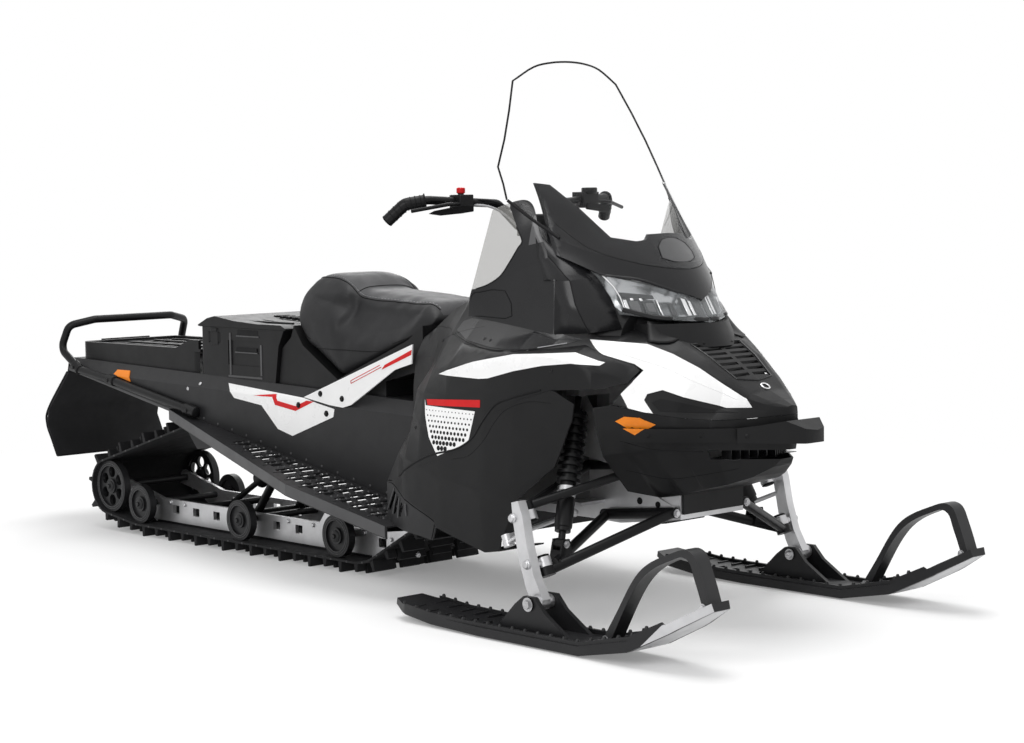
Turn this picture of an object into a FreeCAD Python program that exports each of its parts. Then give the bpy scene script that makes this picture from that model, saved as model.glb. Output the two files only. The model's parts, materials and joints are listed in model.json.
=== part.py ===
import FreeCAD, Part
import math
import os
from FreeCAD import Vector

# Utility snowmobile. Millimetres, +X forward, +Y to the rider's left, +Z up.
# The origin is on the snow line, under the middle of the machine's outline.

# Overall layout
SKI_STANCE = 975.0
TRACK_WIDTH = 406.0
LUG_HEIGHT = 32.0
BELT = 6.0
GROUND_REAR = -1123.0
GROUND_FRONT = -20.0
SLOPE = math.tan(math.radians(10.0))

# Wheels of the track suspension
IDLER_R = 84.0
IDLER_X = -1290.0
IDLER_LIFT = 22.0
BOGIE_R = 62.0
BOGIE_X = (GROUND_REAR, -586.0, -115.0)
BOGIE_Y = 176.0
WHEEL_W = 24.0
AXLE_R = 10.0
SPROCKET_R = 80.0
SPROCKET_X = 400.0
SPROCKET_Z = 337.0
CARRIER_R = 60.0
CARRIER_X = -700.0
CARRIER_Z = 345.0
TRACK_PITCH = 72.6
LUG_BASE = 16.0
LUG_TIP = 9.0
RIM = 16.0
HUB_R = 24.0
RAIL_Y = 118.0
RAIL_T = 12.0
RAIL_WINDOWS = (-1010, -900, -790, -680, -480, -370, -230, 20, 100)

# Tunnel and running boards
TUNNEL_HALF = 225.0
SHEET = 4.0
TUNNEL_REAR = -1470.0
TUNNEL_FRONT = 545.0
TUNNEL_TOP_REAR = 560.0
TUNNEL_TOP_FRONT = 505.0
TUNNEL_LOW_AT_ZERO = 262.0
BOARD_HALF = 420.0
BOARD_BEND_X = -40.0
BOARD_TAIL_X = -870.0
BOARD_NOSE_X = 392.0
BOARD_FLANGE = 34.0
BEVEL_DROP = 38.0
BEVEL_IN = 25.0
TREAD_STEP = 74.0
TOE_GUARD = [(280, 316), (345, 316), (366, 314), (565, 237), (569, 219), (545, 160), (280, 160)]
TOE_VENTS = ([(372, 296), (338, 243), (352, 239), (384, 288)],
             [(396, 284), (372, 236), (386, 232), (408, 276)],
             [(420, 270), (404, 232), (418, 230), (436, 262)])

# Body shell
WALL = 4.0
SEAM = 0.8
BUMPER_T = 14.0
FOOT_PROUD = 4.0
GRILLE_SLATS = 7
GRILLE_X = 1182.0
GRILLE_STEP = 18.0
GRILLE_HALF = 84.0
DASH_MIDDLE = 895.0
SHIELD_T = 5.7
COWL_BACK = 6.0
COWL_T = 8.0
LAMP_BACK = 14.0
LAMP_DEPTH = 50.0

# Front suspension and steering
KINGPIN_Y = 445.0
KINGPIN_LOW = (1022.0, 170.0)
KINGPIN_TOP = (957.0, 315.0)
SKI_BOLT = (1049.0, 96.0)
SKI_HALF_WIDTH = 74.0
HANDLE_WIDTH = 44.0
ARM_TUBE_R = 13.0
STEER_ARM = 100.0
STEER_T = 95.0
UPPER_LUG = 122.0
LUG_LENGTH = 26.0
PIN_R = 8.0
ROD_PIN_R = 6.0
SKI_BOLT_R = 8.0
ARM_ROOT = 118.0
BULKHEAD_FRONT = 1165.0
SPRING_R = 31.0
SHOCK_TOP = (921.0, 225.0, 563.6)
SHOCK_FOOT = (994.0, 365.0, 217.0)
SHOCK_EYE_R = 13.0
SHOCK_PIN_R = 5.0
TIE_INNER_Y = 190.0
POST_TOP = (530.0, 0.0, 985.0)
POST_FOOT = (728.0, 0.0, 625.0)
POST_R = 15.0
POST_CLEAR_R = 34.0
BAR_R = 11.5
GRIP_R = 16.5

# Seat, cargo box and rack
SEAT_HALF = 185.0
RACK_HALF = 190.0
RACK_CORNER = 36.0
BOX_REAR = -743.0
BOX_FRONT = -368.0
BOX_FRONT_MID = -349.0
BOX_FRONT_TOP = -322.0
BOX_KNEE = 640.0
BOX_CORNER = 16.0
BOX_HALF = 200.0
BOX_FLOOR = 545.0
BOX_TOP = 688.0
LID_HINGE = (BOX_REAR - 8.0, BOX_TOP + 4.0)
BOX_WALL = 6.0

HITCH_PIN_R = 8.5

# Play between fixed neighbours, and round a pin
GAP = 0.3
BORE_PLAY = GAP / 6


def vec(x, y, z):
    return Vector(float(x), float(y), float(z))


def box(x0, x1, y0, y1, z0, z1):
    return Part.makeBox(x1 - x0, y1 - y0, z1 - z0, vec(x0, y0, z0))


def rod(a, b, r):
    a = vec(*a)
    b = vec(*b)
    d = b - a
    return Part.makeCylinder(r, d.Length, a, d)


def ball(c, r):
    return Part.makeSphere(r, vec(*c))


def join(shapes):
    shapes = list(shapes)
    if len(shapes) == 1:
        return shapes[0]
    return shapes[0].multiFuse(shapes[1:]).removeSplitter()


def both(shape):
    return shape, shape.mirror(vec(0, 0, 0), vec(0, 1, 0))


def side_plate(points, y0, y1):
    """A plate with its outline in the XZ plane, from y0 to y1."""
    loop = [vec(x, y0, z) for x, z in points]
    face = Part.Face(Part.makePolygon(loop + loop[:1]))
    return face.extrude(vec(0, y1 - y0, 0))


def plan_plate(points, z0, z1):
    """A plate with its outline in the XY plane, from z0 to z1."""
    loop = [vec(x, y, z0) for x, y in points]
    face = Part.Face(Part.makePolygon(loop + loop[:1]))
    return face.extrude(vec(0, 0, z1 - z0))


def front_plate(points, x0, x1):
    """A plate with its outline in the YZ plane, from x0 to x1."""
    loop = [vec(x0, y, z) for y, z in points]
    face = Part.Face(Part.makePolygon(loop + loop[:1]))
    return face.extrude(vec(x1 - x0, 0, 0))


def bent_tube(points, r, bend):
    """A round tube along straight runs joined by tangent arcs of one bend radius."""
    points = [vec(*p) for p in points]
    edges = []
    start = points[0]
    for before, corner, after in zip(points, points[1:], points[2:]):
        u = (before - corner).normalize()
        v = (after - corner).normalize()
        half = u.getAngle(v) / 2.0
        reach = bend / math.tan(half)
        a = corner + u * reach
        b = corner + v * reach
        middle = (u + v).normalize()
        centre = corner + middle * (bend / math.sin(half))
        top = centre - middle * bend
        edges.append(Part.LineSegment(start, a).toShape())
        edges.append(Part.Arc(a, top, b).toShape())
        start = b
    edges.append(Part.LineSegment(start, points[-1]).toShape())
    path = Part.Wire(edges)
    first = points[1] - points[0]
    ring = Part.Wire(Part.makeCircle(r, points[0], first))
    return path.makePipeShell([ring], True, False)


def belt_line(r_extra):
    """The track's closed loop, r_extra outside the belt's inner face."""
    inner = LUG_HEIGHT + BELT
    wheels = [
        (IDLER_X, inner + IDLER_R + IDLER_LIFT, IDLER_R),
        (GROUND_REAR, inner + BOGIE_R, BOGIE_R),
        (GROUND_FRONT, inner + 180.0, 180.0),
        (SPROCKET_X, SPROCKET_Z, SPROCKET_R),
        (CARRIER_X, CARRIER_Z, CARRIER_R),
    ]
    return wheel_loop([(x, z, r + r_extra) for x, z, r in wheels])


def wheel_loop(wheels):
    """Straight runs and arcs around wheels that are listed counter-clockwise."""
    tangents = []
    n = len(wheels)
    for i in range(n):
        x0, z0, r0 = wheels[i]
        x1, z1, r1 = wheels[(i + 1) % n]
        dx, dz = x1 - x0, z1 - z0
        d = math.hypot(dx, dz)
        turn = math.asin((r1 - r0) / d)
        a = math.atan2(dz, dx) - math.pi / 2 - turn
        c, s = math.cos(a), math.sin(a)
        tangents.append(((x0 + r0 * c, z0 + r0 * s), (x1 + r1 * c, z1 + r1 * s), a))
    edges = []
    for i in range(n):
        p, q, a = tangents[i]
        edges.append(Part.LineSegment(vec(p[0], 0, p[1]), vec(q[0], 0, q[1])).toShape())
        x, z, r = wheels[(i + 1) % n]
        after = tangents[(i + 1) % n]
        b = after[2]
        while b < a:
            b += 2 * math.pi
        m = (a + b) / 2
        top = vec(x + r * math.cos(m), 0, z + r * math.sin(m))
        end = vec(after[0][0], 0, after[0][1])
        edges.append(Part.Arc(vec(q[0], 0, q[1]), top, end).toShape())
    return Part.Wire(edges)


def slab(wire, y0, y1):
    face = Part.Face(wire)
    face.translate(vec(0, y0, 0))
    return face.extrude(vec(0, y1 - y0, 0))


def track():
    """Belt with staggered rows of tapered lugs, one closed loop."""
    half = TRACK_WIDTH / 2
    belt = slab(belt_line(BELT), -half, half).cut(slab(belt_line(0.0), -half - 1, half + 1))
    path = belt_line(BELT)
    rows = 2 * round(path.Length / TRACK_PITCH / 2)
    places = path.discretize(Number=rows + 1)[:-1]
    edge = half - 4
    wide = ((-edge, -0.58 * half), (-0.46 * half, -0.06 * half),
            (0.06 * half, 0.46 * half), (0.58 * half, edge))
    narrow = ((-0.8 * half, -0.3 * half), (-0.17 * half, 0.17 * half), (0.3 * half, 0.8 * half))
    profile = [(-LUG_BASE / 2, -1.5), (LUG_BASE / 2, -1.5),
               (LUG_TIP / 2, LUG_HEIGHT), (-LUG_TIP / 2, LUG_HEIGHT)]
    lugs = []
    for i, p in enumerate(places):
        ahead = places[(i + 1) % rows]
        behind = places[i - 1]
        d = (ahead - behind).normalize()
        out = vec(d.z, 0, -d.x)
        frame = FreeCAD.Matrix(d.x, 0, out.x, p.x, 0, 1, 0, 0, d.z, 0, out.z, p.z, 0, 0, 0, 1)
        for y0, y1 in (wide if i % 2 else narrow):
            lugs.append(side_plate(profile, y0, y1).transformGeometry(frame))
    return belt.multiFuse(lugs)


def wheel(x, z, r, y):
    """A solid wheel with a dished disc and a hub, centred on y."""
    disc = rod((x, y - WHEEL_W / 2, z), (x, y + WHEEL_W / 2, z), r)
    for sign in (-1, 1):
        face = y + sign * WHEEL_W / 2
        pocket = rod((x, face - sign * 7, z), (x, face + sign * 1, z), r - RIM)
        hub = rod((x, face - sign * 8, z), (x, face, z), HUB_R)
        disc = disc.cut(pocket).fuse(hub)
    return disc


def bogie_wheels():
    z = LUG_HEIGHT + BELT + BOGIE_R
    wheels = []
    for x in BOGIE_X:
        for y in (-BOGIE_Y, BOGIE_Y):
            wheels.append(wheel(x, z, BOGIE_R - GAP, y))
    axles = [rod((x, -BOGIE_Y - 16, z), (x, BOGIE_Y + 16, z), AXLE_R) for x in BOGIE_X]
    return Part.makeCompound([join([a] + wheels[2 * i:2 * i + 2]) for i, a in enumerate(axles)])


def idler_wheels():
    """Rear pair, each with six slots between its spokes."""
    z = LUG_HEIGHT + BELT + IDLER_R + IDLER_LIFT
    wheels = [wheel(IDLER_X, z, IDLER_R - GAP, y) for y in (-BOGIE_Y, BOGIE_Y)]
    axle = rod((IDLER_X, -BOGIE_Y - 18, z), (IDLER_X, BOGIE_Y + 18, z), AXLE_R)
    reach = (IDLER_R - RIM + HUB_R) / 2
    hole_r = (IDLER_R - RIM - HUB_R) / 2 - 4
    idler = join([axle] + wheels)
    for k in range(6):
        a = math.radians(60 * k + 30)
        x, h = IDLER_X + reach * math.cos(a), z + reach * math.sin(a)
        idler = idler.cut(rod((x, -BOGIE_Y - 20, h), (x, BOGIE_Y + 20, h), hole_r))
    return idler


def carrier_wheels():
    wheels = [wheel(CARRIER_X, CARRIER_Z, CARRIER_R - GAP, y) for y in (-100, 100)]
    reach = TUNNEL_HALF - SHEET
    axle = rod((CARRIER_X, -reach, CARRIER_Z), (CARRIER_X, reach, CARRIER_Z), AXLE_R)
    return join([axle] + wheels)


def drive_axle():
    reach = TUNNEL_HALF - SHEET
    parts = [rod((SPROCKET_X, -reach, SPROCKET_Z), (SPROCKET_X, reach, SPROCKET_Z), 14)]
    for y in (-100, 100):
        parts.append(rod((SPROCKET_X, y - 20, SPROCKET_Z), (SPROCKET_X, y + 20, SPROCKET_Z),
                         SPROCKET_R - GAP))
    return join(parts)


def slide_rails():
    """Two aluminium rails that curve up at the front, with holes for the axles and to save weight."""
    low = LUG_HEIGHT + BELT + 1.0
    mid = low + 78.0
    z_axle = LUG_HEIGHT + BELT + BOGIE_R
    z_idler = LUG_HEIGHT + BELT + IDLER_R + IDLER_LIFT
    outline = [
        (IDLER_X - 34, z_idler - 22), (IDLER_X + 60, z_idler - 40), (GROUND_REAR, low), (GROUND_FRONT, low),
        (200, low), (196, low + 104), (120, low + 92),
        (30, low + 80), (-150, mid), (-170, mid + 85), (-200, mid + 85), (-270, mid),
        (GROUND_REAR + 40, mid), (IDLER_X - 20, z_idler + 24), (IDLER_X - 34, z_idler + 10),
    ]
    rails = []
    loop = slab(belt_line(-1.0), -TRACK_WIDTH / 2, TRACK_WIDTH / 2)
    for y in (-RAIL_Y, RAIL_Y):
        rail = side_plate(outline, y - RAIL_T / 2, y + RAIL_T / 2).common(loop)
        for x in BOGIE_X:
            rail = rail.cut(rod((x, y - 20, z_axle), (x, y + 20, z_axle), AXLE_R + BORE_PLAY))
        rail = rail.cut(rod((IDLER_X, y - 20, z_idler), (IDLER_X, y + 20, z_idler), AXLE_R + BORE_PLAY))
        for x in RAIL_WINDOWS:
            rail = rail.cut(box(x - 17, x + 17, y - 20, y + 20, low + 34, low + 60))
        rails.append(rail)
    return Part.makeCompound(rails)


def skid_arms():
    """Front and rear swing arms between the rails and the tunnel, each with its damper."""
    inner = TUNNEL_HALF - SHEET
    rail_in = RAIL_Y - RAIL_T / 2
    arms = []
    layout = (((-60, 100), (230, 300), (-300, 104)), ((-640, 100), (-420, 366), (-880, 104)))
    for foot, head, damper in layout:
        cross_low = rod((foot[0], -rail_in, foot[1]), (foot[0], rail_in, foot[1]), 16)
        cross_top = rod((head[0], -inner, head[1]), (head[0], inner, head[1]), 16)
        legs = [rod((foot[0], y, foot[1]), (head[0], y, head[1]), 13) for y in (-80, 80)]
        a = vec(damper[0], 0, damper[1])
        d = vec(head[0], 0, head[1]) - a
        cross_damper = rod((a.x, -rail_in, a.z), (a.x, rail_in, a.z), 11)
        shaft = Part.makeCylinder(9, d.Length, a, d)
        coil = Part.makeCylinder(27, d.Length * 0.5, a + d * 0.34, d)
        arms.append(join([cross_low, cross_top, cross_damper, shaft, coil] + legs))
    return Part.makeCompound(arms)


def low_line(x):
    """Height of the tunnel's lower edge, which rises to the rear."""
    return TUNNEL_LOW_AT_ZERO - SLOPE * x


def top_line(x):
    share = (x - TUNNEL_REAR) / (TUNNEL_FRONT - TUNNEL_REAR)
    return TUNNEL_TOP_REAR + share * (TUNNEL_TOP_FRONT - TUNNEL_TOP_REAR)


def tunnel_section(x, out, lift):
    """Bevelled cross-section of the tunnel at x, with its walls moved outward and its lower edge lowered."""
    half = TUNNEL_HALF + out
    top = top_line(x) + out
    low = low_line(x) - lift
    right = [(half, low), (half, top - BEVEL_DROP), (half - BEVEL_IN, top)]
    points = [vec(x, y, z) for y, z in right] + [vec(x, -y, z) for y, z in reversed(right)]
    return Part.makePolygon(points + points[:1])


def tunnel():
    outer = Part.makeLoft([tunnel_section(x, 0, 0) for x in (TUNNEL_REAR, TUNNEL_FRONT)], True, True)
    reach = (TUNNEL_REAR - 10, TUNNEL_FRONT + 10)
    inner = Part.makeLoft([tunnel_section(x, -SHEET, 60) for x in reach], True, True)
    channel = outer.cut(inner)
    ends = [box(TUNNEL_FRONT - SHEET, TUNNEL_FRONT, -TUNNEL_HALF, TUNNEL_HALF, 0, TUNNEL_TOP_REAR),
            box(TUNNEL_REAR, TUNNEL_REAR + SHEET, -TUNNEL_HALF, TUNNEL_HALF, 0, TUNNEL_TOP_REAR)]
    ear = side_plate([(CARRIER_X - 130, 405), (CARRIER_X + 50, 378), (CARRIER_X + 28, 318),
                      (CARRIER_X - 40, 310)], TUNNEL_HALF - SHEET, TUNNEL_HALF)
    return join([channel, *[end.common(outer) for end in ends], *both(ear)])


def board_outline(inset=0.0):
    inner = TUNNEL_HALF + GAP
    tail = TUNNEL_HALF + 12
    return [(BOARD_TAIL_X + inset, inner), (BOARD_NOSE_X - inset, inner),
            (BOARD_NOSE_X - inset, BOARD_HALF - inset), (BOARD_BEND_X, BOARD_HALF - inset),
            (BOARD_TAIL_X + inset, tail - inset)]


def running_board(shell):
    """Left board: a slotted tread plate with a turned-down outer edge, and the vented toe guard."""
    rise = 8.0

    def sloped(x0, x1, lift0, lift1, y0, y1):
        return side_plate([(x0, low_line(x0) + lift0), (x1, low_line(x1) + lift0),
                           (x1, low_line(x1) + lift1), (x0, low_line(x0) + lift1)], y0, y1)

    x0, x1 = BOARD_TAIL_X - 20, BOARD_NOSE_X + 20
    plan = plan_plate(board_outline(), 0, 700)
    tread = plan.common(sloped(x0, x1, rise, rise + SHEET, 0, 500))
    skirt = plan.common(sloped(x0, x1, rise + SHEET - BOARD_FLANGE, rise + SHEET, 0, 500))
    inside = plan_plate([(BOARD_TAIL_X - 30, 0), (BOARD_NOSE_X + 30, 0),
                         (BOARD_NOSE_X + 30, BOARD_HALF - SHEET), (BOARD_BEND_X, BOARD_HALF - SHEET),
                         (BOARD_TAIL_X - 30, TUNNEL_HALF + 4)], 0, 700)
    board = tread.fuse(skirt.cut(inside))
    for i in range(11):
        x = -470 + i * TREAD_STEP
        reach = min(1.0, (x + 30 - BOARD_TAIL_X) / (BOARD_BEND_X - BOARD_TAIL_X))
        y0 = TUNNEL_HALF + 18
        y1 = TUNNEL_HALF + (BOARD_HALF - TUNNEL_HALF) * reach - 24
        columns = int((y1 - y0) / 44)
        for k in range(columns):
            a = y0 + k * (y1 - y0) / columns
            b = a + (y1 - y0) / columns - 14
            board = board.cut(box(x, x + TREAD_STEP - 26, a, b, 0, 700))
    low = side_plate([(x0, 0), (BOARD_NOSE_X, 0), (BOARD_NOSE_X, low_line(BOARD_NOSE_X) + rise + SHEET),
                      (x0, low_line(x0) + rise + SHEET)], 0, 500)
    guard = shell.common(side_plate(TOE_GUARD, TUNNEL_HALF + 6, 450)).cut(low)
    for vent in TOE_VENTS:
        guard = guard.cut(side_plate(vent, 340, 420))
    return join([board, guard])


def rear_bumper():
    """The grab tube that leaves the tunnel's sides and loops round the rear rack."""
    y = TUNNEL_HALF + 12.8
    x, z = TUNNEL_REAR, TUNNEL_TOP_REAR
    side = [(x + 746, y, z - 135), (x + 290, y, z - 60), (x + 95, y, z - 34), (x - 16, y, z + 30),
            (x + 24, y - 8, z + 108)]
    far = [(a, -b, c) for a, b, c in reversed(side)]
    return bent_tube(side + [(x + 58, 150, z + 126), (x + 58, -150, z + 126)] + far, 12.5, 32.0)


def rack():
    """Rear rack: a hollow moulded tray over the tunnel, with a rim and rows of slots."""
    half = RACK_HALF
    x0, x1 = TUNNEL_REAR + 30, BOX_REAR - 17
    top = TUNNEL_TOP_REAR + 46
    outline = [(x0, top_line(x0) + GAP), (x1, top_line(x1) + GAP), (x1, top + 8), (x0, top + 8)]
    tray = side_plate(outline, -half, half)
    corners = [e for e in tray.Edges if abs(e.tangentAt(e.FirstParameter).z) > 0.99]
    tray = tray.makeFillet(RACK_CORNER, corners)
    tray = tray.cut(box(x0 + 20, x1 - 20, -half + 20, half - 20, top, top + 20))
    tray = tray.cut(box(x0 + 8, x1 - 8, -half + 8, half - 8, 0, top - 6))
    columns, step = 4, 64.0
    width = (2 * half - 60) / columns
    for i in range(int((x1 - x0 - 60) / step)):
        for k in range(columns):
            y = -half + 30 + k * width
            x = x0 + 40 + i * step
            tray = tray.cut(box(x, x + 30, y + 8, y + width - 8, top - 10, top + 10))
    sides = [side_plate([(x1 - 150, top), (x1, top), (x1, top + 36), (x1 - 60, top + 36)], y, y + 10)
             for y in (-half, half - 10)]
    return join([tray] + [s.cut(box(x1 - 9, x1 + 1, -half, half, top + 8, top + 60)) for s in sides])


def snow_flap():
    y = TUNNEL_HALF - SHEET - 1
    x, z = TUNNEL_REAR, TUNNEL_TOP_REAR
    sheet = side_plate([(x, z - 12), (x - 10, z - 48), (x - 136, z - 176), (x - 151, z - 228),
                        (x - 119, z - 286), (x - 92, z - 335), (x - 86, z - 334), (x - 113, z - 284),
                        (x - 144, z - 228), (x - 130, z - 178), (x - 4, z - 52)], -y, y)
    return sheet.cut(box(x - 130, x + 70, -50, 50, z - 40, z + 40))


def tail_lamp():
    x, z = TUNNEL_REAR, TUNNEL_TOP_REAR
    return box(x + 8, x + 30, -90, 90, z + 16, z + 50)


def hitch():
    """Tow hitch: a drawbar with two jaws and a hole for the drop pin."""
    x, z = TUNNEL_REAR, TUNNEL_TOP_REAR
    back = box(x - 8, x, -45, 45, z - 35, z + 25)
    low = box(x - 65, x, -30, 30, z - 20, z - 12)
    jaw = box(x - 65, x, -30, 30, z + 16, z + 24)
    hole = rod((x - 45, 0, z - 30), (x - 45, 0, z + 30), HITCH_PIN_R)
    return join([back, low, jaw]).cut(hole)


def cargo_box():
    """Storage box behind the seat: its front wall leans forward over the seat base."""
    def outline(wall, floor, lid):
        lean = (BOX_FRONT_TOP - BOX_FRONT_MID) / (BOX_TOP - BOX_KNEE)
        return [(BOX_REAR + wall, floor(BOX_REAR)), (BOX_REAR + wall, lid),
                (BOX_FRONT_TOP - 1.1 * wall + lean * (lid - BOX_TOP), lid),
                (BOX_FRONT_MID - 1.1 * wall, BOX_KNEE), (BOX_FRONT - wall, floor(BOX_FRONT))]
    outer = side_plate(outline(0, lambda x: top_line(x) + GAP, BOX_TOP), -BOX_HALF, BOX_HALF)
    upright = [e for e in outer.Edges if e.Length < 160 and abs(e.tangentAt(e.FirstParameter).y) < 0.01]
    outer = outer.makeFillet(BOX_CORNER, [e for e in upright if e.BoundBox.XMax < BOX_REAR + 1])
    inner = side_plate(outline(BOX_WALL, lambda x: BOX_FLOOR, BOX_TOP + 10), -BOX_HALF + BOX_WALL,
                       BOX_HALF - BOX_WALL)
    body = outer.cut(inner)
    for y in (-BOX_HALF - 1, BOX_HALF - 2.5):
        body = body.cut(box(-700, -640, y, y + 3.5, 640, 672))
        body = body.cut(box(-600, -430, y, y + 3.5, 575, 650))
    return body


def cargo_lid():
    """Lid with a sloping rear edge, two long ribs and the rear hinge knuckle."""
    low = BOX_TOP + GAP
    outline = [(BOX_REAR - 6, low), (BOX_REAR - 6, low + 4), (BOX_REAR + 43, low + 25),
               (BOX_REAR + 80, low + 32), (BOX_REAR + 180, low + 20), (BOX_REAR + 290, low + 14),
               (BOX_FRONT_TOP - 10, low + 14), (BOX_FRONT_TOP + 12, low + 4), (BOX_FRONT_TOP + 12, low)]
    top = side_plate(outline, -BOX_HALF - 4, BOX_HALF + 4)
    groove = [box(BOX_REAR + 190, BOX_FRONT_TOP - 30, y, y + 12, low + 10, low + 60)
              for y in (-110, -50, 38, 98)]
    hinge_x, hinge_z = LID_HINGE
    knuckle = rod((hinge_x, -60, hinge_z), (hinge_x, 60, hinge_z), 6)
    lid = join([top, knuckle])
    for g in groove:
        lid = lid.cut(g)
    return lid


def seat():
    """The cushion: a long saddle with a narrower top that rises to a hump at the rear."""
    saddle = side_plate([(-246, 648), (-131, 581), (-87, 556), (225, 680), (289, 723), (289, 745),
                         (271, 757), (240, 775), (125, 790), (-90, 803), (-246, 803)],
                        -SEAT_HALF, SEAT_HALF)
    narrow = [(SEAT_HALF, 500), (SEAT_HALF, 668), (150, 720), (112, 796), (95, 803)]
    hump = side_plate([(-286, 705), (-302, 760), (-300, 797), (-262, 845), (-235, 858), (-170, 852),
                       (-107, 822), (-85, 802), (-85, 560), (-131, 581), (-246, 648)],
                      -SEAT_HALF, SEAT_HALF)
    wide = [(SEAT_HALF, 500), (SEAT_HALF, 725), (150, 797), (125, 838), (92, 858)]
    pieces = []
    for shape, half in ((saddle, narrow), (hump, wide)):
        outline = half + [(-y, z) for y, z in reversed(half)]
        pieces.append(shape.common(front_plate(outline, -400, 400)))
    return join(pieces)


def seat_base():
    """The moulded base between the tunnel and the cushion."""
    g = GAP
    rear = BOX_FRONT + 6
    outline = [(rear, top_line(rear) + g), (rear + 19, 634), (-300, 668), (-287, 703 - g), (-246, 647 - g),
               (-131, 580 - g), (-87, 555 - g), (225, 679 - g), (288, 721 - g), (288, 600), (128, 560),
               (128, top_line(128) + g)]
    return side_plate(outline, -SEAT_HALF - 5, SEAT_HALF + 5)


def side_brace():
    """Left diagonal trim plate, from the tunnel's side up to the side panel."""
    y = TUNNEL_HALF + GAP
    return side_plate([(-196, 501), (289, 672), (285, 619), (213, 599), (20, 491), (-18, 481), (-79, 485)],
                      y, y + SHEET)


# Cross-sections of the front body: x, height of the middle, then points (y, z) from crown to keel
SEAT_NOSE_X = 292.3
SECTIONS = (
    (SEAT_NOSE_X, 735, (110, 731), (188, 690), (219, 640), (230, 560), (233, 470), (236, 330), (236, 215)),
    (330, 738, (112, 734), (192, 706), (226, 640), (236, 560), (242, 470), (362, 312), (362, 214)),
    (385, 746, (116, 743), (200, 738), (238, 640), (252, 566), (302, 480), (365, 398), (386, 205)),
    (440, 782, (120, 779), (203, 772), (270, 645), (345, 566), (364, 486), (394, 385), (399, 196)),
    (500, 805, (126, 802), (206, 797), (340, 622), (374, 560), (387, 480), (401, 375), (400, 190)),
    (600, 815, (140, 812), (222, 790), (378, 632), (386, 560), (395, 470), (405, 350), (400, 178)),
    (750, 805, (150, 800), (245, 775), (388, 655), (390, 580), (395, 470), (402, 330), (390, 176)),
    (850, 785, (150, 780), (262, 765), (382, 672), (382, 585), (383, 460), (385, 340), (372, 190)),
    (930, 772, (150, 768), (260, 738), (368, 675), (367, 590), (363, 475), (355, 385), (330, 240)),
    (1000, 757, (140, 752), (248, 714), (345, 668), (346, 600), (340, 500), (322, 410), (255, 325)),
    (1060, 742, (125, 735), (230, 709), (322, 645), (322, 580), (311, 500), (286, 430), (200, 335)),
    (1120, 728, (112, 722), (182, 705), (262, 622), (290, 562), (281, 500), (258, 440), (140, 318)),
    (1180, 699, (106, 697), (151, 681), (224, 600), (264, 545), (256, 500), (235, 447), (125, 328)),
    (1240, 663, (97, 664), (126, 647), (187, 580), (222, 531), (216, 500), (196, 452), (117, 346)),
    (1300, 623, (82, 620), (105, 609), (122, 553), (160, 524), (158, 500), (145, 458), (98, 361)),
    (1350, 590, (64, 584), (84, 573), (87, 548), (102, 526), (102, 500), (95, 462), (62, 380)),
    (1395, 570, (38, 564), (48, 556), (51, 545), (54, 531), (54, 500), (48, 466), (32, 408)),
    (1425, 556, (14, 554), (18, 551), (19, 545), (20, 535), (20, 505), (18, 470), (12, 448)),
)


def body_loft(inset):
    """The whole front body as one closed form, moved inward by inset."""
    wires = []
    last = len(SECTIONS) - 1
    for i, (x, top, crown, *flank, keel) in enumerate(SECTIONS):
        x = x - inset if i == last else x - (inset if i == 0 else 0)
        half = [(crown[0], crown[1] - inset), (flank[0][0] - inset, flank[0][1] - inset)]
        half += [(y - inset, z) for y, z in flank[1:]]
        half.append((keel[0] - inset, keel[1] + inset))
        points = [vec(x, 0, top - inset)]
        points += [vec(x, y, z) for y, z in half]
        points += [vec(x, -y, z) for y, z in reversed(half)]
        wires.append(Part.makePolygon(points + points[:1]))
    return Part.makeLoft(wires, True, True)


def body_shell():
    return body_loft(0.0).cut(body_loft(WALL))


# Seams of the panels, seen from the side
SIDE_TOP = [(280, 700), (372, 722), (460, 722), (600, 690), (760, 680), (930, 690), (1000, 700), (1120, 655)]
SIDE_LOW = [(1136, 640), (1128, 614), (1085, 598), (960, 592), (867, 564), (812, 536), (785, 528), (755, 483),
            (730, 452), (668, 425), (569, 390), (450, 351), (360, 320), (280, 318)]
NOSE_REAR_X = 1062.0
HOOD_LOW = [(1105, 560), (1200, 540), (1260, 529), (1320, 523), (1370, 527), (1400, 531), (1460, 538)]


def side_panel(shell):
    return shell.common(side_plate(SIDE_TOP + SIDE_LOW, 150, 450))


def foot_panel():
    """Left lower panel, which stands proud of the side panel, from its seam down to the toe guard."""
    seam = [(x, z - SEAM) for x, z in SIDE_LOW[3:-1]]
    guard = [(x + SEAM, z + 2 * SEAM) for x, z in TOE_GUARD[1:5]]
    front = [(790, 160), (800, 206), (846, 290), (862, 320), (956, 401), (1011, 518), (1019, 560), (971, 590)]
    proud = body_loft(-FOOT_PROUD).cut(body_loft(0.0))
    return proud.common(side_plate(seam + guard + front, TUNNEL_HALF + 6, 450))


def hood(shell):
    """Hood down to the nose, with the slats of its grille."""
    seam = [(x, z + SEAM) for x, z in SIDE_TOP[3:]]
    outline = seam + [(1143, 641), (1135, 612), (1106, 562)] + HOOD_LOW[1:] + [(1460, 900), (600, 900)]
    post = rod(POST_FOOT, POST_TOP, POST_CLEAR_R)
    cover = shell.common(side_plate(outline, -500, 500)).cut(post)
    for i in range(GRILLE_SLATS):
        x = GRILLE_X + i * GRILLE_STEP
        reach = GRILLE_HALF - i * 3.5
        for y0, y1 in ((7, reach), (-reach, -7)):
            cover = cover.cut(box(x, x + GRILLE_STEP - 9, y0, y1, 560, 900))
    return cover


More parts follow.
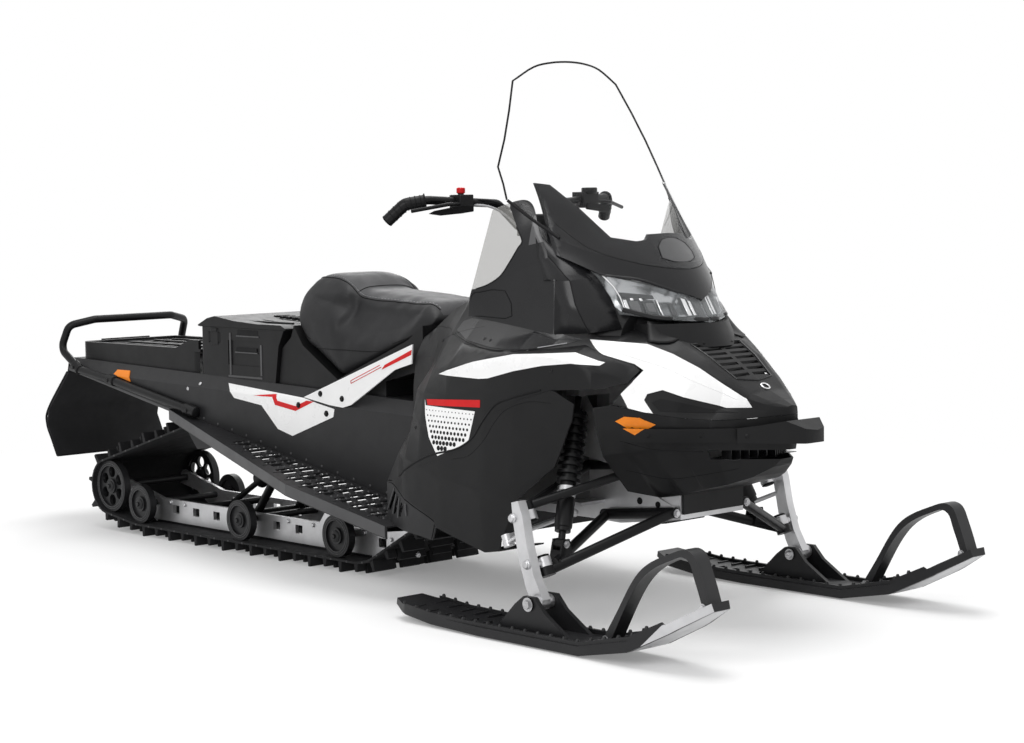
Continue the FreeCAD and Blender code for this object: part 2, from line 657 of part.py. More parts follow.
def console(shell):
    seam = [(x, z + SEAM) for x, z in SIDE_TOP[:4]]
    outline = [(x if x < 600 else 600 - SEAM, z) for x, z in seam] + [(600 - SEAM, 900), (280, 900)]
    post = rod(POST_FOOT, POST_TOP, POST_CLEAR_R)
    wall = body_loft(WALL).common(box(SEAT_NOSE_X, SEAT_NOSE_X + WALL, -192, 192, 600, 900))
    return join([shell.common(side_plate(outline, -500, 500)), wall]).cut(post)


def belly_pan(shell):
    """Lower nose with its intake slot and the lip over the front of the bulkhead."""
    seam = [(x, z - SEAM) for x, z in HOOD_LOW]
    outline = [(NOSE_REAR_X, 552)] + seam + [(1460, 200), (NOSE_REAR_X, 200)]
    notch = box(1000, BULKHEAD_FRONT + GAP, -123, 123, 200, 380)
    pan = shell.common(side_plate(outline, -500, 500)).cut(notch)
    pan = pan.cut(box(1285, 1460, -160, 160, 426, 449))
    lip = box(BULKHEAD_FRONT + GAP, BULKHEAD_FRONT + GAP + 6, -112, 112, 277, 334)
    return join([pan, lip])


def front_bumper():
    """The strap that wraps the nose, with its blunt, raised tip."""
    strap = body_loft(-BUMPER_T).common(box(1130, 1600, -400, 400, 470, 504))
    plan = [(1360, 128), (1430, 84), (1494, 34), (1503, 0), (1494, -34), (1430, -84), (1360, -128)]
    raised = side_plate([(1355, 470), (1355, 505), (1400, 512), (1457, 524), (1503, 501), (1496, 470)],
                        -200, 200)
    tip = plan_plate(plan, 460, 530).common(raised)
    return join([strap, tip]).cut(body_loft(0.0))


def engine():
    return box(560, 850, -210, 210, 282, 580)


def bulkhead():
    """The frame between the tunnel and the front arms."""
    core = side_plate([(850, 240), (960, 237), (BULKHEAD_FRONT, 264), (BULKHEAD_FRONT, 345),
                       (1105, 420), (850, 420)], -ARM_ROOT, ARM_ROOT)
    relay = box(850, 905, -205, 205, 284, 292)
    link = box(TUNNEL_FRONT, 850, -ARM_ROOT, ARM_ROOT, 240, 282)
    tower = box(880, 925, -ARM_ROOT, ARM_ROOT, 420, 600)
    shock_mount = box(880, 925, -228, 228, 566, 600)
    foot = vec(*POST_FOOT)
    up = (vec(*POST_TOP) - foot).normalize()
    seat = Part.makeCylinder(32, 46, foot - up * 6, up)
    stays = [rod((900, y, 585), (foot.x + 6, y / 4, foot.z + 8), 11) for y in (-90, 90)]
    bore = Part.makeCylinder(POST_R + BORE_PLAY, 80, foot, up)
    return join([core, relay, link, tower, shock_mount, seat] + stays).cut(bore)


def kingpin(t, y=KINGPIN_Y):
    """The point at height t along the left kingpin axis, and the axis direction."""
    low = vec(KINGPIN_LOW[0], y, KINGPIN_LOW[1])
    up = vec(KINGPIN_TOP[0] - KINGPIN_LOW[0], 0, KINGPIN_TOP[1] - KINGPIN_LOW[1]).normalize()
    return low + up * t, up


def on_kingpin(t0, t1, r, shift=Vector(0, 0, 0)):
    """A cylinder along the kingpin direction from t0 to t1."""
    a, up = kingpin(t0)
    return Part.makeCylinder(r, t1 - t0, a + shift, up)


def lower_arm():
    """Left lower A-arm: its eye carries the spindle from below."""
    eye, up = kingpin(-8)
    front = vec(1150, ARM_ROOT + 14, 282)
    rear = vec(925, ARM_ROOT + 14, 258)
    tubes = [Part.makeCylinder(ARM_TUBE_R, (p - eye).Length, eye, p - eye) for p in (front, rear)]
    root = rod((912, ARM_ROOT + 14, 256.6), (1163, ARM_ROOT + 14, 283.4), 13.7)
    clear = on_kingpin(1, 60, 40)
    x, y, z = SHOCK_FOOT
    half = SHOCK_EYE_R + 6
    saddle = front_plate([(y - 24, z - 34), (y + 24, z - 42), (y + 11, z + 12), (y - 11, z + 12)],
                         x - half, x + half)
    saddle = saddle.cut(box(x - 13, x + 13, y - 40, y + 40, z - SHOCK_EYE_R - 1, z + 40))
    bolt = rod((x - half, y, z), (x + half, y, z), SHOCK_PIN_R)
    arm = join(tubes + [root, saddle, bolt, on_kingpin(-20, 1, 20)])
    return arm.cut(clear).fuse(on_kingpin(0, LUG_LENGTH, PIN_R))


def upper_arm():
    """Left upper A-arm: its eye closes the spindle from above."""
    top = UPPER_LUG + LUG_LENGTH
    eye, up = kingpin(top + 10)
    front = vec(1086, ARM_ROOT + 12, 398)
    rear = vec(862, ARM_ROOT + 12, 378)
    tubes = [Part.makeCylinder(11, (p - eye).Length, eye, p - eye) for p in (front, rear)]
    root = rod((852, ARM_ROOT + 12, 377), (1096, ARM_ROOT + 12, 399), 11.7)
    clear = on_kingpin(top - 60, top + 0.5, 40)
    return join(tubes + [root, on_kingpin(top + 0.5, top + 20, 18)]).cut(clear).fuse(
        on_kingpin(UPPER_LUG, top + 2, PIN_R))


def shock():
    """Left damper with the turns of its coil spring, drawn as rings."""
    top = vec(*SHOCK_TOP)
    foot = vec(*SHOCK_FOOT)
    d = foot - top
    body = Part.makeCylinder(20, d.Length * 0.62, top + d * 0.3, d)
    shaft = Part.makeCylinder(9, d.Length, top, d)
    turns = 9
    start, pitch = 0.14, 0.054
    rings = [Part.makeCylinder(SPRING_R, 8, top + d * (start + i * pitch), d) for i in range(turns)]
    core = Part.makeCylinder(20, d.Length * 0.3, top + d * start, d)
    x, y, z = SHOCK_FOOT
    eye = rod((x - 12, y, z), (x + 12, y, z), SHOCK_EYE_R)
    bore = rod((x - 30, y, z), (x + 30, y, z), SHOCK_PIN_R + BORE_PLAY)
    return join([body, shaft, core, eye] + rings).cut(bore)


def spindle():
    """Left ski leg with its two ball joint lugs, the steering arm and the foot on the ski bolt."""
    y = SKI_STANCE / 2
    leg = side_plate([(962, 330), (985, 336), (1000, 300), (1014, 230), (1036, 160), (1068, 104), (1062, 80),
                      (1036, 78), (1008, 130), (984, 200), (968, 280)], y - 13, y + 13)
    pieces = [leg, rod((SKI_BOLT[0], y - 29, SKI_BOLT[1]), (SKI_BOLT[0], y + 29, SKI_BOLT[1]), 17)]
    for t in (2.0, UPPER_LUG):
        a, up = kingpin(t + 12)
        pieces.append(on_kingpin(t, t + LUG_LENGTH - 2, 19))
        pieces.append(Part.makeCylinder(11, y - KINGPIN_Y - 14, a + vec(0, 14, 0), vec(0, 1, 0)))
    tip = steer_tip()
    a, up = kingpin(STEER_T)
    reach = vec(a.x, y - 4, a.z) - tip
    start = tip + (reach * 1.0).normalize() * 10
    pieces.append(Part.makeCylinder(14, 14, tip - up * 7, up))
    pieces.append(Part.makeCylinder(6.9, reach.Length - 10, start, reach))
    bores = [on_kingpin(-5, UPPER_LUG + 60, PIN_R + BORE_PLAY),
             Part.makeCylinder(ROD_PIN_R + BORE_PLAY, 40, tip - up * 20, up),
             rod((SKI_BOLT[0], y - 60, SKI_BOLT[1]), (SKI_BOLT[0], y + 60, SKI_BOLT[1]),
                 SKI_BOLT_R + BORE_PLAY)]
    cut = []
    for piece in pieces:
        for bore in bores:
            piece = piece.cut(bore)
        cut.append(piece)
    return join(cut)


def ski():
    """Left ski, nose up, with its keel, its two upper ribs and the saddle of its bolt."""
    y = SKI_STANCE / 2
    side = [(557, 36), (600, 22), (720, 8), (900, 4), (1245, 4), (1400, 34), (1520, 92), (1624, 150),
            (1618, 168), (1520, 116), (1400, 60), (1240, 26), (900, 26), (720, 30), (600, 44), (562, 52)]
    plan = [(557, y - 40), (620, y - 66), (900, y - SKI_HALF_WIDTH), (1400, y - SKI_HALF_WIDTH),
            (1540, y - 60), (1626, y - 26), (1626, y + 26), (1540, y + 60), (1400, y + SKI_HALF_WIDTH),
            (900, y + SKI_HALF_WIDTH), (620, y + 66), (557, y + 40)]
    outline = plan_plate(plan, -10, 300)
    blade = side_plate(side, y - 90, y + 90).common(outline)
    rib = [(590, 40), (600, 50), (720, 38), (900, 36), (1240, 36), (1400, 70), (1500, 116), (1512, 110),
           (1400, 58), (1240, 24), (900, 24), (720, 28)]
    ribs = [side_plate(rib, a, a + 9).common(outline)
            for a in (y - SKI_HALF_WIDTH + 4, y + SKI_HALF_WIDTH - 13)]
    keel = side_plate([(700, 12), (760, 0), (1245, 0), (1420, 42), (1400, 50), (1240, 10), (760, 10)],
                      y - 12, y + 12)
    saddle = side_plate([(930, 24), (1000, 92), (1030, 114), (1068, 114), (1100, 80), (1190, 24)],
                        y - 42, y + 42)
    saddle = saddle.cut(box(900, 1200, y - 30, y + 30, 30, 130))
    bolt = rod((SKI_BOLT[0], y - 46, SKI_BOLT[1]), (SKI_BOLT[0], y + 46, SKI_BOLT[1]), SKI_BOLT_R)
    return join([blade, keel, saddle, bolt] + ribs)


def ski_handle():
    """Left grab strap, a flat band bent into a loop over the ski's nose."""
    y = SKI_STANCE / 2 - HANDLE_WIDTH / 2
    outer = [(1262, 22), (1296, 72), (1330, 124), (1363, 176), (1400, 218), (1450, 248), (1500, 268),
             (1536, 277), (1556, 270), (1574, 240), (1590, 200), (1606, 155)]
    inner = [(1588, 145), (1572, 188), (1557, 226), (1546, 250), (1530, 259), (1500, 252), (1455, 233),
             (1412, 206), (1375, 166), (1342, 114), (1315, 66), (1290, 22)]
    edges = []
    for line in (outer, inner):
        curve = Part.BSplineCurve()
        curve.interpolate([vec(x, y, z) for x, z in line])
        edges.append(curve.toShape())
    for a, b in ((outer[-1], inner[0]), (inner[-1], outer[0])):
        edges.append(Part.LineSegment(vec(a[0], y, a[1]), vec(b[0], y, b[1])).toShape())
    loop = Part.Wire(Part.__sortEdges__(edges))
    return Part.Face(loop).extrude(vec(0, HANDLE_WIDTH, 0)).cut(ski())


def handlebar():
    """Bar and post, with grips, the clamp block, the switch and brake housings and both levers."""
    half = [(410, 400, 1016), (442, 376, 1052), (480, 330, 1062), (520, 120, 1050), (530, 50, 985)]
    tube = bent_tube(half + [(x, -y, z) for x, y, z in reversed(half)], BAR_R, 26)
    post = rod(POST_FOOT, POST_TOP, POST_R)
    clamp = box(506, 554, -36, 36, 962, 1008)
    pieces = [tube, post, clamp]
    for side in (-1, 1):
        grip = [(404, 404, 1010), (442, 376, 1052), (474, 337, 1060)]
        pieces.append(bent_tube([(x, side * y, z) for x, y, z in grip], GRIP_R, 26))
        y0, y1 = sorted((side * 208, side * 256))
        pieces.append(box(482, 520, y0, y1, 1038, 1074))
        lever = [(512, side * 240, 1052), (528, side * 300, 1050), (486, side * 392, 1034)]
        pieces += [rod(a, b, 5) for a, b in zip(lever, lever[1:])]
        pieces.append(ball(lever[1], 5))
    pieces.append(rod((500, -232, 1070), (500, -232, 1090), 8))
    return join(pieces)


def steer_tip():
    """Centre of the ball joint at the end of the left steering arm."""
    a, up = kingpin(STEER_T)
    return a + vec(-up.z, 0, up.x) * STEER_ARM


def tie_rod():
    """Left tie rod, from the steering arm to the middle of the bulkhead."""
    tip = steer_tip()
    up = kingpin(0)[1]
    outer = tip + up * 16
    inner = vec(outer.x - 20, TIE_INNER_Y, 262)
    pin = Part.makeCylinder(ROD_PIN_R, 26, tip - up * 7, up)
    eye = Part.makeCylinder(13, 16, tip + up * 7.5, up)
    end = Part.makeSphere(11, inner)
    return join([Part.makeCylinder(7, (inner - outer).Length, outer, inner - outer), eye, pin, end])


def shield_x(y, z):
    levels = (800, 860, 920, 980, 1040, 1100, 1160, 1230, 1300, 1368, 1420)
    centre = (1146, 1108, 1066, 1018, 962, 902, 846, 786, 738, 700, 675)
    curve = (3.2, 3.0, 2.75, 2.6, 2.2, 1.8, 1.6, 1.3, 1.1, 1.0, 1.0)
    for i in range(len(levels) - 1):
        if z <= levels[i + 1] or i == len(levels) - 2:
            t = (z - levels[i]) / (levels[i + 1] - levels[i])
            c = centre[i] + t * (centre[i + 1] - centre[i])
            k = curve[i] + t * (curve[i + 1] - curve[i])
            return c - k * y * y / 1000.0


def shield_sheet(back, thick):
    """A curved sheet, its outer face moved back from the windshield's face."""
    def surface(offset):
        rows = []
        for i in range(16):
            z = 680 + i * (1430 - 680) / 15
            rows.append([vec(shield_x(y, z) - offset, y, z) for y in range(-330, 331, 60)])
        s = Part.BSplineSurface()
        s.interpolate(rows)
        return s.toShape()
    outer = surface(back)
    return outer.extrude(vec(-thick, 0, 0))


def windshield():
    half = [(0, 880), (100, 892), (200, 926), (240, 958), (302, 1060), (297, 1143), (190, 1368), (120, 1405),
            (60, 1418), (0, 1422)]
    outline = half + [(-y, z) for y, z in reversed(half[1:-1])]
    return shield_sheet(0.0, SHIELD_T).common(front_plate(outline, 400, 1300))


def cowl():
    half = [(0, 804), (70, 828), (135, 857), (200, 872), (255, 920), (240, 1101), (213, 1096), (180, 1036),
            (150, 962), (100, 951), (75, 955), (60, 968), (0, 970)]
    outline = half + [(-y, z) for y, z in reversed(half[1:-1])]
    return shield_sheet(COWL_BACK, COWL_T).common(front_plate(outline, 400, 1300))


def wing():
    """Left smoked wind deflector between the cowl and the hood, an upper blade and a lower lobe."""
    front = [vec(shield_x(240, 1095), 244, 1090), vec(shield_x(255, 922), 263, 925), vec(922, 302, 724)]
    rear = [vec(741, 322, 1075), vec(640, 329, 812), vec(628, 322, 764)]
    blades = []
    for i in (0, 1):
        sheet = Part.makeRuledSurface(Part.makeLine(front[i], front[i + 1]),
                                      Part.makeLine(rear[i], rear[i + 1]))
        blades.append(sheet.extrude(vec(-2, 3, 0)))
    ahead = shield_sheet(-30.0, 30.0 + SHIELD_T + GAP).common(box(400, 1300, -400, 400, 860, 1500))
    return join(blades).cut(ahead)


def headlamp():
    outline = [(1, 748), (1, 812), (70, 838), (135, 866), (205, 884), (180, 815), (182, 772), (100, 757)]
    return shield_sheet(LAMP_BACK, LAMP_DEPTH).common(front_plate(outline, 400, 1300))


def dash(lamps):
    """Fairing between the hood and the cowl, with raised flanks, which carries the instruments."""
    sections = ((520, 826, 150, 205, 800, 225, 740), (585, 851, 165, 222, 815, 235, 740),
                (640, 885, 180, 232, 835, 243, 740), (700, 938, 195, 238, 850, 250, 740),
                (820, 921, 205, 245, 829, 255, 730), (920, 884, 195, 235, 790, 250, 700),
                (990, 862, 150, 215, 768, 245, 690), (1045, 820, 110, 185, 748, 225, 690))
    wires = []
    for x, top, w_top, w_mid, mid, w_low, low in sections:
        middle = min(top, DASH_MIDDLE)
        half = [(w_top - 35, middle), (w_top, top), (w_mid, mid), (w_low, low)]
        points = [vec(x, y, z) for y, z in half] + [vec(x, -y, z) for y, z in reversed(half)]
        wires.append(Part.makePolygon(points + points[:1]))
    block = Part.makeLoft(wires, True, True)
    block = block.cut(body_loft(-GAP)).cut(shield_sheet(-60, 60 + COWL_BACK + COWL_T + GAP))
    for lamp in lamps:
        block = block.cut(lamp)
    return block.cut(rod(POST_FOOT, POST_TOP, POST_CLEAR_R))


def lamp_housing():
    """Frame of the headlamps: it carries the cowl and stands on the hood."""
    wall = shield_sheet(LAMP_BACK + LAMP_DEPTH + GAP, 60).common(
        front_plate([(-180, 690), (180, 690), (180, 850), (-180, 850)], 400, 1300))
    lip = shield_sheet(12, 60).common(
        front_plate([(-150, 690), (150, 690), (150, 747.7), (-150, 747.7)], 400, 1300))
    return join([wall, lip]).cut(body_loft(-GAP))


def build():
    shell = body_shell()
    lamps = [*both(headlamp()), lamp_housing()]
    parts = {
        "track": track(),
        "bogie_wheels": bogie_wheels(),
        "idler_wheels": idler_wheels(),
        "carrier_wheels": carrier_wheels(),
        "drive_axle": drive_axle(),
        "slide_rails": slide_rails(),
        "skid_arms": skid_arms(),
        "tunnel": tunnel(),
        "rear_bumper": rear_bumper(),
        "rear_rack": rack(),
        "snow_flap": snow_flap(),
        "tail_lamp": tail_lamp(),
        "hitch": hitch(),
        "cargo_box": cargo_box(),
        "cargo_lid": cargo_lid(),
        "seat": seat(),
        "seat_base": seat_base(),
        "hood": hood(shell),
        "console": console(shell),
        "belly_pan": belly_pan(shell),
        "front_bumper": front_bumper(),
        "engine": engine(),
        "bulkhead": bulkhead(),
        "handlebar": handlebar(),
        "windshield": windshield(),
        "cowl": cowl(),
        "dash": dash(lamps),
        "lamp_housing": lamps[2],
    }
    pairs = {
        "running_board": running_board(shell),
        "side_brace": side_brace(),
        "side_panel": side_panel(shell),
        "foot_panel": foot_panel(),
        "lower_arm": lower_arm(),
        "upper_arm": upper_arm(),
        "shock": shock(),
        "spindle": spindle(),
        "ski": ski(),
        "ski_handle": ski_handle(),
        "tie_rod": tie_rod(),
        "wing": wing(),
        "headlamp": lamps[0],
    }
    for name, shape in pairs.items():
        left, right = both(shape)
        parts[name + "_left"] = left
        parts[name + "_right"] = right
    return parts


os.makedirs("parts", exist_ok=True)
for name, shape in build().items():
    shape.exportStep(os.path.join("parts", name + ".step"))
    b = shape.BoundBox
    print(f"{name:22s} {len(shape.Solids)} {shape.isValid()} {shape.Volume / 1e6:8.3f}  "
          f"{b.XMin:7.0f} {b.XMax:7.0f} {b.YMin:6.0f} {b.YMax:6.0f} {b.ZMin:6.0f} {b.ZMax:6.0f}")
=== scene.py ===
import json
import math

import bmesh
import bpy
import numpy as np
from mathutils import Matrix, Vector
from mathutils.bvhtree import BVHTree


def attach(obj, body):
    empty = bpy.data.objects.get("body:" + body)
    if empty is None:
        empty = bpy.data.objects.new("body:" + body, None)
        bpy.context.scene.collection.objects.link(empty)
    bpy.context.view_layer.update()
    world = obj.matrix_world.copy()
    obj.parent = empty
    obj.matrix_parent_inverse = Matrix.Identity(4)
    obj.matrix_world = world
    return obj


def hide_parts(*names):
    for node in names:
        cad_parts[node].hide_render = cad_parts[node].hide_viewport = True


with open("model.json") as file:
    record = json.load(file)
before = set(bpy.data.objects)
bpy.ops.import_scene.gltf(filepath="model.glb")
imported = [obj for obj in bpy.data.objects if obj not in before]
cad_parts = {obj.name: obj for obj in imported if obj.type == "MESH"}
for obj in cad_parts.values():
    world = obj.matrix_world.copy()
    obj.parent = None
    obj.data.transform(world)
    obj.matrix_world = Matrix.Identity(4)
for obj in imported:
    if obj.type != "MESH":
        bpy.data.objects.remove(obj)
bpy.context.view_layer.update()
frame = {"nodes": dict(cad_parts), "record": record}
NODES = frame["nodes"]

# Camera at the photograph's place
IMAGE_W = 1024
SENSOR_MM = 36.0
FOCAL_PX = 2170.15
CAMERA_AT = Vector((4.76007, -4.05876, 1.06293))
CAMERA_AZ = math.radians(46.79254)
CAMERA_EL = math.radians(4.55878)
CAMERA_ROLL = math.radians(-0.88268)

# Light: the floor is white from FLOOR_WHITE_R on and keeps its shadow inside FLOOR_SHADOW_R
WORLD_LIGHT = 0.62
FLOOR_HALF = 14.0
FLOOR_GREY = 0.93
FLOOR_SHADOW_R = 1.9
FLOOR_WHITE_R = 3.6
FLOOR_GLOW = 0.22

# Points of a mesh closer than this, in metres, are one point
MERGE = 0.00002


def camera_axes():
    a, e, r = CAMERA_AZ, CAMERA_EL, CAMERA_ROLL
    back = Vector((math.sin(a) * math.cos(e), -math.cos(a) * math.cos(e), math.sin(e)))
    right = Vector((math.cos(a), math.sin(a), 0.0))
    up = back.cross(right)
    return (right * math.cos(r) + up * math.sin(r), up * math.cos(r) - right * math.sin(r), back)


def add_camera():
    right, up, back = camera_axes()
    data = bpy.data.cameras.new("camera")
    data.sensor_width = SENSOR_MM
    data.lens = FOCAL_PX * SENSOR_MM / IMAGE_W
    data.clip_end = 100.0
    cam = bpy.data.objects.new("camera", data)
    bpy.context.collection.objects.link(cam)
    m = Matrix((right, up, back)).transposed().to_4x4()
    m.translation = CAMERA_AT
    cam.matrix_world = m
    bpy.context.scene.camera = cam


# Floor, world and lamps
def math_node(nt, operation, a, b):
    node = nt.nodes.new("ShaderNodeMath")
    node.operation = operation
    nt.links.new(a, node.inputs[0])
    nt.links.new(b, node.inputs[1])
    return node.outputs[0]


def background_rays(nt):
    """1 for rays that should see the plain white background."""
    path = nt.nodes.new("ShaderNodeLightPath")
    seen = math_node(nt, "MAXIMUM", path.outputs["Is Camera Ray"], path.outputs["Is Glossy Ray"])
    return math_node(nt, "MAXIMUM", seen, path.outputs["Is Transmission Ray"])


def mix_to_surface(nt, factor, first, second, out):
    mix = nt.nodes.new("ShaderNodeMixShader")
    nt.links.new(factor, mix.inputs["Fac"])
    nt.links.new(first.outputs[0], mix.inputs[1])
    nt.links.new(second.outputs[0], mix.inputs[2])
    nt.links.new(mix.outputs[0], out.inputs["Surface"])


def add_world():
    world = bpy.data.worlds.new("world")
    bpy.context.scene.world = world
    world.use_nodes = True
    nt = world.node_tree
    nt.nodes.clear()
    out = nt.nodes.new("ShaderNodeOutputWorld")
    soft, white = (nt.nodes.new("ShaderNodeBackground") for k in range(2))
    for node, strength in ((soft, WORLD_LIGHT), (white, 1.0)):
        node.inputs["Color"].default_value = (1, 1, 1, 1)
        node.inputs["Strength"].default_value = strength
    mix_to_surface(nt, background_rays(nt), soft, white, out)


def add_floor():
    me = bpy.data.meshes.new("floor")
    s = FLOOR_HALF
    me.from_pydata([(-s, -s, 0), (s, -s, 0), (s, s, 0), (-s, s, 0)], [], [(0, 1, 2, 3)])
    ob = bpy.data.objects.new("floor", me)
    bpy.context.collection.objects.link(ob)
    mat = bpy.data.materials.new("floor_white")
    mat.use_nodes = True
    nt = mat.node_tree
    nt.nodes.clear()
    out = nt.nodes.new("ShaderNodeOutputMaterial")
    diffuse = nt.nodes.new("ShaderNodeBsdfDiffuse")
    diffuse.inputs["Color"].default_value = (FLOOR_GREY, FLOOR_GREY, FLOOR_GREY, 1)
    glow = nt.nodes.new("ShaderNodeEmission")
    glow.inputs["Strength"].default_value = 1.0
    place = nt.nodes.new("ShaderNodeNewGeometry")
    length = nt.nodes.new("ShaderNodeVectorMath")
    length.operation = "LENGTH"
    nt.links.new(place.outputs["Position"], length.inputs[0])
    share = map_range(nt, length.outputs["Value"], FLOOR_SHADOW_R, FLOOR_WHITE_R, FLOOR_GLOW, 1.0)
    mix_to_surface(nt, math_node(nt, "MULTIPLY", background_rays(nt), share), diffuse, glow, out)
    me.materials.append(mat)


def area_lamp(name, at, target, size, watts):
    data = bpy.data.lights.new(name, "AREA")
    data.shape = "RECTANGLE"
    data.size, data.size_y = size
    data.energy = watts
    ob = bpy.data.objects.new(name, data)
    bpy.context.collection.objects.link(ob)
    ob.location = at
    ob.rotation_mode = "QUATERNION"
    ob.rotation_quaternion = (Vector(target) - Vector(at)).to_track_quat("-Z", "Y")


def add_lamps():
    area_lamp("lamp_top", (0.3, 0.2, 5.2), (0, 0, 0), (4.5, 3.2), 170)
    area_lamp("lamp_side", (2.2, -5.2, 3.0), (0.2, 0, 0.5), (3.0, 2.0), 90)
    area_lamp("lamp_back", (-4.2, 3.4, 3.2), (0, 0, 0.5), (2.6, 2.0), 60)


# Materials
def new_material(name):
    mat = bpy.data.materials.new(name)
    mat.use_nodes = True
    nt = mat.node_tree
    bsdf = nt.nodes["Principled BSDF"]
    return mat, nt, bsdf


def object_noise(nt, scale, detail=3.0, rough=0.5):
    coord = nt.nodes.new("ShaderNodeTexCoord")
    noise = nt.nodes.new("ShaderNodeTexNoise")
    noise.inputs["Scale"].default_value = scale
    noise.inputs["Detail"].default_value = detail
    noise.inputs["Roughness"].default_value = rough
    nt.links.new(coord.outputs["Object"], noise.inputs["Vector"])
    return noise.outputs["Fac"]


def map_range(nt, value, low, high, to_low, to_high):
    node = nt.nodes.new("ShaderNodeMapRange")
    node.inputs["From Min"].default_value = low
    node.inputs["From Max"].default_value = high
    node.inputs["To Min"].default_value = to_low
    node.inputs["To Max"].default_value = to_high
    nt.links.new(value, node.inputs["Value"])
    return node.outputs[0]


def mix_colour(nt, factor, a, b):
    node = nt.nodes.new("ShaderNodeMix")
    node.data_type = "RGBA"
    node.inputs[6].default_value = (*a, 1)
    node.inputs[7].default_value = (*b, 1)
    nt.links.new(factor, node.inputs[0])
    return node.outputs[2]


def bump(nt, bsdf, height, strength, distance):
    node = nt.nodes.new("ShaderNodeBump")
    node.inputs["Strength"].default_value = strength
    node.inputs["Distance"].default_value = distance
    nt.links.new(height, node.inputs["Height"])
    nt.links.new(node.outputs[0], bsdf.inputs["Normal"])


def moulded(name, colour, rough, grain, depth, coat=0.0, spread=0.18, metallic=0.0, specular=0.5):
    """Moulded plastic or paint: fine grain, slightly uneven colour and gloss."""
    mat, nt, bsdf = new_material(name)
    cloud = object_noise(nt, 7.0, 4.0, 0.6)
    share = map_range(nt, cloud, 0.3, 0.7, 0.0, 1.0)
    low = tuple(c * (1 - spread) for c in colour)
    high = tuple(min(1.0, c * (1 + spread)) for c in colour)
    nt.links.new(mix_colour(nt, share, low, high), bsdf.inputs["Base Color"])
    smear = object_noise(nt, 23.0, 5.0, 0.65)
    uneven = map_range(nt, smear, 0.25, 0.75, rough * 0.85, min(1.0, rough * 1.18))
    nt.links.new(uneven, bsdf.inputs["Roughness"])
    bump(nt, bsdf, object_noise(nt, grain, 2.0, 0.5), 0.35, depth)
    bsdf.inputs["Metallic"].default_value = metallic
    bsdf.inputs["Coat Weight"].default_value = coat
    bsdf.inputs["Coat Roughness"].default_value = 0.08
    bsdf.inputs["Specular IOR Level"].default_value = specular
    return mat


def clear_sheet(name, colour, alpha_low, alpha_high):
    """Thin clear sheet: mostly see-through, with gloss that grows at grazing angles."""
    mat, nt, bsdf = new_material(name)
    layer = nt.nodes.new("ShaderNodeLayerWeight")
    layer.inputs["Blend"].default_value = 0.25
    haze = object_noise(nt, 9.0, 3.0, 0.5)
    nt.links.new(mix_colour(nt, haze, tuple(c * 0.96 for c in colour), colour), bsdf.inputs["Base Color"])
    alpha = map_range(nt, layer.outputs["Facing"], 0.0, 1.0, alpha_low, alpha_high)
    nt.links.new(alpha, bsdf.inputs["Alpha"])
    bsdf.inputs["Roughness"].default_value = 0.05
    return mat


